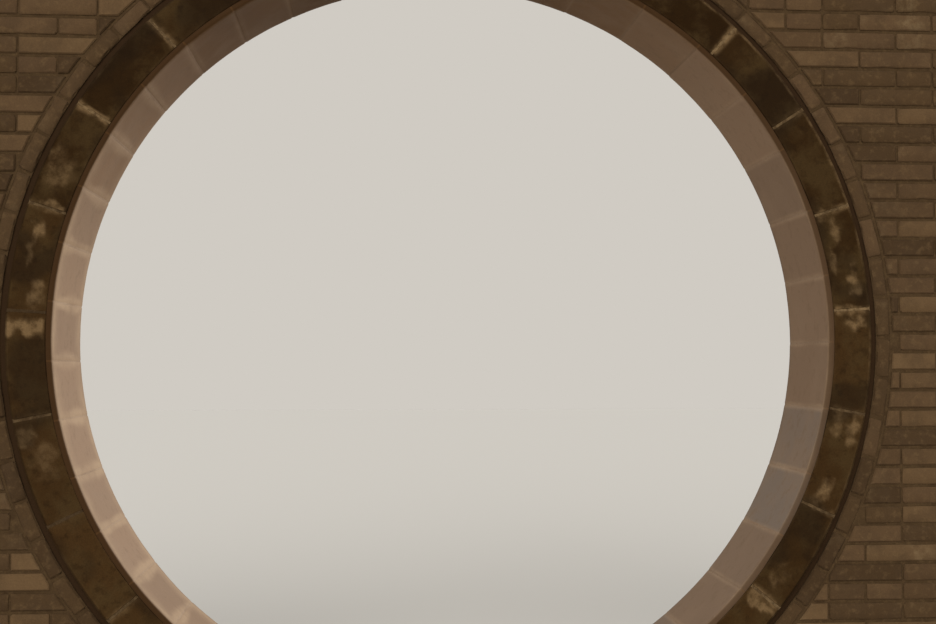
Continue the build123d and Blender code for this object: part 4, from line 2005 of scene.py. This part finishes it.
@dataclass
class EavesCourses:
    """The brick courses that step out under the tiles, with the sawtooth course between them.

    Attributes:
        tooth_pitch: Distance between two teeth.
        tooth_side: Side of the square brick end set cornerwise.
        tooth_tip: How far from the wall's middle a tooth's corner stands.
        end_width: Width of the bricks that close the course's ends, end_depth their depth, and
            end_out how far from the wall's middle they lie.
    """

    sizes: CopingSizes
    tooth_pitch: float = 0.200
    tooth_side: float = 0.115
    tooth_tip: float = 0.2675
    joint: float = 0.003
    arris: float = 0.0035
    end_width: float = 0.040
    end_depth: float = 0.202
    end_out: float = 0.105
    kinds: int = 5
    seed: int = 61

    def build(self) -> None:
        """Builds the three courses."""
        for node, pitch in (("lower_corbel", 0.250), ("upper_corbel", 0.125)):
            low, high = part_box(node)
            course = BlockCourse(self.sizes.half_length, low.z, high.z, high.y, pitch, shift=0.125)
            parts = course.build(f"{node}_laid", FIRED_BRICK, RAKED_MORTAR, 0.009)
            hand_over(f"{node}_bricks", parts, node)
        self.sawtooth()

    def sawtooth(self) -> None:
        """The course whose bricks show a corner, with mortar between them."""
        low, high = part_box("sawtooth_course")
        height, middle = high.z - low.z - self.joint, (low.z + high.z) / 2
        teeth = [
            CornerBlock(width, depth, height, self.arris, seed).shape()
            for width, depth, first, count in (
                (self.tooth_side, self.tooth_side, self.seed, self.kinds),
                (self.end_width, self.end_depth, self.seed + 9, 2),
            )
            for seed in range(first, first + count)
        ]
        dice = random.Random(self.seed)
        half_length = self.sizes.half_length
        spots = []
        for index in range(round(2 * half_length / self.tooth_pitch)):
            x = -half_length + (index + 0.5) * self.tooth_pitch + dice.uniform(-0.002, 0.002)
            for wall_face in WallFace:
                y = wall_face.value * (self.tooth_tip - self.tooth_side / math.sqrt(2))
                turn = math.pi / 4 + dice.randrange(4) * math.pi / 2
                spots.append(Spot((x, y, middle), dice.randrange(self.kinds), (0.0, 0.0, turn)))
        for end, half in product((-1, 1), (-1, 1)):
            place = (end * (half_length - self.end_width / 2 - 0.001), half * self.end_out, middle)
            spots.append(Spot(place, self.kinds + dice.randrange(2)))
        reach, depth = half_length - 0.009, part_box("lower_corbel")[1].y - 0.007
        bed = Shape().box((-reach, -depth, low.z), (reach, depth, high.z), 0.7, 0.1)
        parts = [
            bed.dressed("sawtooth_bed", RAKED_MORTAR),
            Laying(sway=0.003, seed=5).lay("teeth", teeth, FIRED_BRICK, spots),
        ]
        hand_over("sawtooth_bricks", parts, "sawtooth_course")


@dataclass(frozen=True)
class BarrelTile:
    """A half-round cover tile along +Y, bedded solid, a little narrower at its upper end.

    Attributes:
        side: How far its sides reach down below the half round.
        taper: How much smaller the radius of its upper end is.
    """

    radius: float = 0.0635
    side: float = 0.020
    length: float = 0.160
    taper: float = 0.006
    cells: int = 12
    seed: int = 0

    def shape(self) -> Shape:
        """The tile as rings from the upper end down to its worn lower lip."""
        ends = ((self.length, self.taper), (self.length / 2, self.taper / 2), (0.004, 0.0), (0.0, 0.003))
        return Shape().sleeve([self.ring(y, self.radius - shrink) for y, shrink in ends])

    def ring(self, y: float, radius: float) -> list[Dot]:
        """The tile's outline at a place along it, dirty at its foot.

        Args:
            y: The place.
            radius: The outline's radius there.

        Returns:
            The outline's points.
        """
        flat = [(-radius, 0.0), (radius, 0.0)]
        rise = self.side * radius / self.radius
        for angle in steps(0.0, math.pi, self.cells):
            reach = radius - 0.0006 + 0.0006 * waver(angle * 1.5, y * 30, self.seed * 2.7)
            flat.append((reach * math.cos(angle), rise + reach * math.sin(angle)))
        return [Dot((x, y, z), 0.5, 0.0, 0.55 if z < 0.024 else 0.0) for x, z in flat]


@dataclass(frozen=True)
class EndDisc:
    """The round end of a row of cover tiles, pressed with a rim, petals and a boss.

    Attributes:
        height: How high its middle lies over the bed.
        petals: How many petals are round the boss.
        cells: Cells round the disc, and rings from its rim to its middle.
    """

    radius: float = 0.0645
    height: float = 0.020
    thickness: float = 0.0135
    petals: int = 8
    cells: int = 48
    rings: int = 16

    def shape(self) -> Shape:
        """The disc as rings from its back over the rim to the boss."""
        radii = steps(self.radius - 0.002, 0.0, self.rings)[:-1]
        return Shape().sleeve([
            self.ring(self.radius, 0.0), self.ring(self.radius, 0.002 - self.thickness),
            *(self.ring(radius) for radius in radii),
        ])

    def relief(self, radius: float, angle: float) -> float:
        """How far the pattern stands out of the disc's sunken field.

        Args:
            radius: The place's distance from the disc's middle.
            angle: Its angle round the middle.

        Returns:
            The height of the relief.
        """
        fold = abs(math.cos(self.petals * angle / 2)) ** 0.7
        raised = 0.0
        for middle, half, height in (
            (self.radius - 0.006, 0.008, 0.0042), (self.radius - 0.017, 0.004, 0.0018),
            (0.031, 0.015, 0.0040 * fold), (0.0, 0.013, 0.0042),
        ):
            raised += height * max(0.0, 1 - ((radius - middle) / half) ** 2) ** 0.6
        return min(raised, 0.0044)

    def ring(self, radius: float, y: Optional[float] = None) -> list[Dot]:
        """A ring of the disc.

        Args:
            radius: Its radius.
            y: Its depth, or none for a ring of the face with the pattern's relief.

        Returns:
            The ring's points.
        """
        dots = []
        for angle in steps(0.0, 2 * math.pi, self.cells)[:-1]:
            raised = self.relief(radius, angle)
            depth, sunk = 0.0046 - self.thickness - raised, 0.5 * max(0.0, 1 - raised / 0.0022)
            if y is not None:
                depth, sunk = y, 0.0
            place = (radius * math.cos(angle), depth, self.height + radius * math.sin(angle))
            dots.append(Dot(place, 0.5, 0.0, sunk))
        return dots


@dataclass(frozen=True)
class Channel:
    """What the tiles between two rows of cover tiles share: a shallow trough.

    Attributes:
        half: Half its width.
        edge: Height of its surface at its sides, and middle in its middle.
    """

    half: float
    edge: float = 0.0295
    middle: float = 0.0155

    def top(self, x: float) -> float:
        """Height of the channel's surface."""
        return self.middle + (self.edge - self.middle) * (x / self.half) ** 2


@dataclass(frozen=True)
class PanTile(Channel):
    """A shallow channel tile along +Y, bedded solid, that drops under the next one above."""

    length: float = 0.100
    drop: float = 0.009
    cells: int = 8
    seed: int = 0

    def shape(self) -> Shape:
        """The tile as rings from the upper end down to its worn lower lip.

        Returns:
            The closed tile.
        """
        loops = []
        ends = ((self.length, self.drop), (self.length / 2, self.drop / 2), (0.003, 0.0), (0.0, 0.002))
        for y, down in ends:
            flat = [(-self.half, 0.0), (self.half, 0.0)]
            for x in steps(self.half, -self.half, self.cells):
                wear = abs(0.0008 * waver(x * 20, y * 20, self.seed * 1.9))
                flat.append((x, self.top(x) - down - wear))
            loops.append([Dot((x, y, z), 0.5, 0.0, 0.35 * abs(x / self.half) ** 3) for x, z in flat])
        return Shape().sleeve(loops)


@dataclass(frozen=True)
class DripTile(Channel):
    """The lip that closes a channel at the eaves: a pointed plate with a rim and a fan of leaves.

    Attributes:
        shoulder: How far its sides reach below the bed.
        point: How far its tip reaches below the bed.
        bow: How far the ogee of the lower edge swings to either side.
        raised: How far the pattern stands out.
    """

    shoulder: float = 0.010
    point: float = 0.0545
    bow: float = 0.0055
    thickness: float = 0.0115
    columns: int = 40
    rows: int = 18
    raised: float = 0.0028

    def bottom(self, x: float) -> float:
        """Height of the plate's lower edge, an ogee from the tip to each shoulder.

        Args:
            x: The place across the plate.

        Returns:
            The height.
        """
        share = abs(x) / self.half
        straight = -self.point + (self.point - self.shoulder) * share
        return straight + self.bow * math.sin(2 * math.pi * share)

    def relief(self, x: float, z: float) -> float:
        """How far the rim and the leaves stand out of the plate's sunken field.

        Args:
            x: The place across the plate.
            z: The place's height.

        Returns:
            The height of the relief.
        """
        from_edge = min(z - self.bottom(x), (self.half - abs(x)) * 1.1)
        relief = max(0.0, 1 - ((from_edge - 0.004) / 0.005) ** 2) ** 0.6
        for leaf in range(-2, 3):
            lean, up = 0.62 * leaf, z + 0.040
            along = (x * math.sin(lean) + up * math.cos(lean)) / (0.052 + 0.002 * abs(leaf))
            across = abs(x * math.cos(lean) - up * math.sin(lean))
            if 0 < along < 1:
                width = max(0.0105 * math.sin(math.pi * along ** 1.3), 0.0001)
                relief = max(relief, max(0.0, 1 - (across / width) ** 2) ** 0.5)
        return self.raised * relief

    def shape(self) -> Shape:
        """The plate as a grid from its lower edge to the channel.

        Returns:
            The closed plate.
        """
        grid = []
        for x in steps(-self.half, self.half, self.columns):
            dots = []
            for z in steps(self.bottom(x), self.top(x), self.rows):
                relief = self.relief(x, z)
                place = (x, 0.0030 - self.thickness - relief, z)
                dots.append(Dot(place, 0.5, 0.0, 0.5 * max(0.0, 1 - 2 * relief / self.raised)))
            grid.append(dots)
        shape = Shape()
        shape.panel(grid, lambda place: (place[0], 0.0, place[2]))
        return shape


@dataclass
class TiledSlope:
    """The rows of cover and channel tiles on one side of the ridge, of a few kinds each.

    Attributes:
        cover_step: How far up the slope a cover tile lies over the last, and pan_step a
            channel tile.
    """

    sizes: CopingSizes
    wall_face: WallFace
    covers: int = 3
    cover_step: float = 0.109
    pans: int = 5
    pan_step: float = 0.0652
    kinds: int = 4

    def build(self) -> None:
        """Builds the covers, ended by discs, and the channels, ended by lips."""
        half = self.sizes.pan_half
        covers = [*(BarrelTile(seed=index) for index in range(self.kinds)), EndDisc()]
        channels = [*(PanTile(half, seed=index) for index in range(self.kinds)), DripTile(half)]
        cover_ups = [index * self.cover_step for index in range(self.covers)]
        pan_ups = [index * self.pan_step for index in range(self.pans)]
        self.lay("barrel_tiles", covers, self.sizes.rows, cover_ups, 0.0015, 71)
        self.lay("pan_tiles", channels, self.sizes.rows - 1, pan_ups, 0.0010, 81)

    def lay(self, kind: str, tiles: Sequence[Any], rows: int, ups: Sequence[float], sway: float,
            seed: int) -> None:
        """Lays the tiles of a sort and hands the piece over.

        Args:
            kind: What the sort's nodes are called.
            tiles: The kinds of tiles, and last the one that ends a row.
            rows: How many rows there are.
            ups: How far up the slope the tiles of a row lie.
            sway: The most that a tile leans.
            seed: Chooses the tiles' kinds.
        """
        dice = random.Random(seed + self.wall_face.value)
        turn = (self.sizes.slope, 0.0, self.wall_face.turn)
        spots = []
        for row in range(rows):
            x = (row - (rows - 1) / 2) * self.sizes.row_pitch
            for up, pick in (*((up, dice.randrange(self.kinds)) for up in ups), (0.0, self.kinds)):
                spots.append(Spot(self.wall_face.place(self.sizes.on_slope(x, up)), pick, turn))
        node = f"{kind}_{self.wall_face.name.lower()}"
        laying = Laying(sway=sway, seed=90 + self.wall_face.value)
        piece = laying.lay(f"{node}_laid", [tile.shape() for tile in tiles], GREY_CLAY_TILE, spots)
        hand_over(f"{node}_laid", [piece], node)


@dataclass
class Ridge:
    """The bed of the coping, the upright ridge of thin bricks and its half-round caps.

    Attributes:
        shelf_bottom: How high the shelf lies over the ridge's foot.
        shelf_height: Its height, and shelf_depth half its depth.
        joint: Width of a joint, as far as the mortar is raked back too.
        cap_pitch: Length of a cap with a joint, and collar the width of its collar.
    """

    sizes: CopingSizes
    shelf_bottom: float = 0.119
    shelf_height: float = 0.025
    shelf_depth: float = 0.080
    joint: float = 0.005
    cap_radius: float = 0.065
    cap_pitch: float = 0.250
    collar: float = 0.022
    kinds: int = 3
    seed: int = 95

    def build(self) -> None:
        """Builds the bed, the ridge and the caps."""
        self.bed()
        self.wall()
        self.caps()

    def bed(self) -> None:
        """The plastered bed under the tiles, slightly uneven along the eaves."""
        low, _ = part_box("roof_bed")
        depth, eaves = self.sizes.eaves_depth, self.sizes.eaves_height
        ridge, top = self.sizes.half_ridge, self.sizes.ridge_bottom
        profile = [
            (-depth, low.z), (depth, low.z), (depth, eaves), (ridge, top), (-ridge, top), (-depth, eaves),
        ]
        loops = []
        for x in steps(-self.sizes.half_length, self.sizes.half_length, 60):
            loop = []
            for y, z in profile:
                at_edge = abs(y) == depth
                pull = at_edge * 0.004 * abs(waver(x * 3, y * 9, z * 20))
                loop.append(Dot((x, y - math.copysign(pull, y), z), 0.5, 0.0, 0.5 if at_edge else 0.15))
            loops.append(loop)
        piece = Shape().sleeve(loops).dressed("roof_bed_plastered", WEATHERED_PLASTER)
        hand_over("roof_bed_plastered", [piece], "roof_bed")

    def wall(self) -> None:
        """Two courses of thin bricks, a shelf of flat tiles and one course over it."""
        base, half = self.sizes.ridge_bottom, self.sizes.half_ridge
        shelf, over = base + self.shelf_bottom, base + self.shelf_bottom + self.shelf_height
        between = base + self.shelf_bottom / 2
        parts = []
        for number, (low, high, depth, pitch, shift) in enumerate((
            (base, between, half, 0.240, 0.0), (between, shelf, half, 0.240, 0.120),
            (shelf, over, self.shelf_depth, 0.300, 0.170), (over, self.sizes.ridge_top, half, 0.240, 0.060),
        )):
            course = BlockCourse(self.sizes.half_length, low, high, depth, pitch, shift, self.joint,
                                 depth=1.0, seed=self.seed + number)
            parts += course.build(f"ridge_course_{number}", GREY_CLAY_TILE, GREY_CLAY_TILE, self.joint)
        hand_over("ridge_wall_laid", parts, "ridge_wall")

    def caps(self) -> None:
        """Half-round caps butted end to end, with a collar at each joint."""
        dice = random.Random(self.seed)
        count = round(2 * self.sizes.half_length / self.cap_pitch)
        spots = [
            Spot(((index + 0.5) * self.cap_pitch - self.sizes.half_length, 0.0, self.sizes.ridge_top),
                 dice.randrange(self.kinds))
            for index in range(count)
        ]
        caps = [self.cap(index) for index in range(self.kinds)]
        piece = Laying(sway=0.0, seed=4).lay("ridge_cap_laid", caps, GREY_CLAY_TILE, spots)
        hand_over("ridge_cap_laid", [piece], "ridge_cap")

    def cap(self, seed: int) -> Shape:
        """One cap along X about its own middle.

        Args:
            seed: Chooses the wear.

        Returns:
            The cap, as half rings from one end to the other.
        """
        half = self.cap_pitch / 2 - 0.0008
        inner = self.collar - half
        loops = []
        for x, shrink in (
            (-half, 0.003), (0.003 - half, 0.0006), (inner, 0.0006), (inner + 0.002, 0.004),
            (0.0, 0.005), (half - 0.003, 0.006), (half, 0.008),
        ):
            loop = []
            for angle in steps(0.0, math.pi, 16):
                reach = self.cap_radius - shrink - abs(0.0005 * waver(angle * 2, x * 18, seed * 3.1))
                grime = 0.4 if angle in (0.0, math.pi) else 0.0
                loop.append(Dot((x, reach * math.cos(angle), reach * math.sin(angle)), 0.5, 0.0, grime))
            loops.append(loop)
        return Shape().sleeve(loops)


@dataclass
class Stage:
    """The pale floor, the soft light and the camera at the photograph's place.

    Attributes:
        eye: The camera's place.
        look_up: How far it looks up, and look_right how far to the right, in degrees.
        sky_colour: Hex colour of the sky where it is seen.
    """

    eye: Point = (-0.2385, -4.376, 1.4637)
    look_up: float = 2.40
    look_right: float = 4.13
    lens: float = 50.0
    floor_half: float = 40.0
    sky_colour: str = "#d0cbc3"
    sky_light: float = 0.46

    def build(self) -> None:
        """Sets up the floor, just under the wall, the world, the lamps and the camera."""
        floor, half = Shape(), self.floor_half
        floor.face(floor.add([Dot((x, y, -0.0005)) for x, y in rectangle(-half, half, -half, half)]))
        floor.dressed("studio_floor", MattPaint("studio_floor", "#d9d4cb"))
        self.world()
        self.lamp("front_light", (-1.5, -7.0, 5.0), 1.7, 50.0)
        self.lamp("back_light", (6.0, 5.5, 4.0), 2.2, 35.0)
        data = bpy.data.cameras.new("camera")
        data.lens = self.lens
        data.sensor_width = 36.0
        camera = to_object("camera", data)
        camera.location = self.eye
        camera.rotation_euler = (math.radians(90.0 + self.look_up), 0.0, math.radians(-self.look_right))
        bpy.context.scene.camera = camera
        bpy.context.scene.view_settings.view_transform = "Standard"

    def world(self) -> None:
        """A pale sky that lights the scene at a plain level."""
        world = bpy.data.worlds.new("studio")
        bpy.context.scene.world = world
        world.use_nodes = True
        tree = world.node_tree
        tree.nodes.clear()
        path = add_node(tree, "ShaderNodeLightPath").outputs
        seen = path["Is Camera Ray"]
        for ray in ("Is Glossy Ray", "Is Transmission Ray"):
            seen = add_node(tree, "ShaderNodeMath", {0: seen, 1: path[ray]}, operation="MAXIMUM")
        light, show = (
            add_node(tree, "ShaderNodeBackground", {"Color": colour, "Strength": strength})
            for colour, strength in (("#ffffff", self.sky_light), (self.sky_colour, 1.0))
        )
        both = add_node(tree, "ShaderNodeMixShader", {"Fac": seen, 1: light, 2: show})
        add_node(tree, "ShaderNodeOutputWorld", {"Surface": both})

    def lamp(self, name: str, place: Point, strength: float, spread: float) -> None:
        """Adds a soft distant light that shines towards the doorway.

        Args:
            name: Its name.
            place: Where it comes from.
            strength: Its strength.
            spread: How soft it is, in degrees.
        """
        data = bpy.data.lights.new(name, "SUN")
        data.energy = strength
        data.angle = math.radians(spread)
        lamp = to_object(name, data)
        lamp.location = place
        lamp.rotation_euler = (Vector((0.0, 0.0, 1.5)) - Vector(place)).to_track_quat("-Z", "Y").to_euler()


def main() -> None:
    """Builds the classes in order."""
    logging.basicConfig(level=logging.INFO, format="%(name)s: %(message)s")
    sizes = GateSizes.from_frame()
    log.info("sizes %s", sizes)
    Stage().build()
    Brickwork(sizes).build()
    BrickRing(sizes).build()
    stones, lining = StoneRing(sizes), Lining(sizes)
    RingMortar(sizes, stones, lining).build()
    stones.build(WallFace.FRONT)
    stones.build(WallFace.BACK)
    lining.build()
    Plinth(sizes).build()
    coping = CopingSizes.from_frame()
    EavesCourses(coping).build()
    for wall_face in WallFace:
        TiledSlope(coping, wall_face).build()
    Ridge(coping).build()


if __name__ == "__main__":
    main()
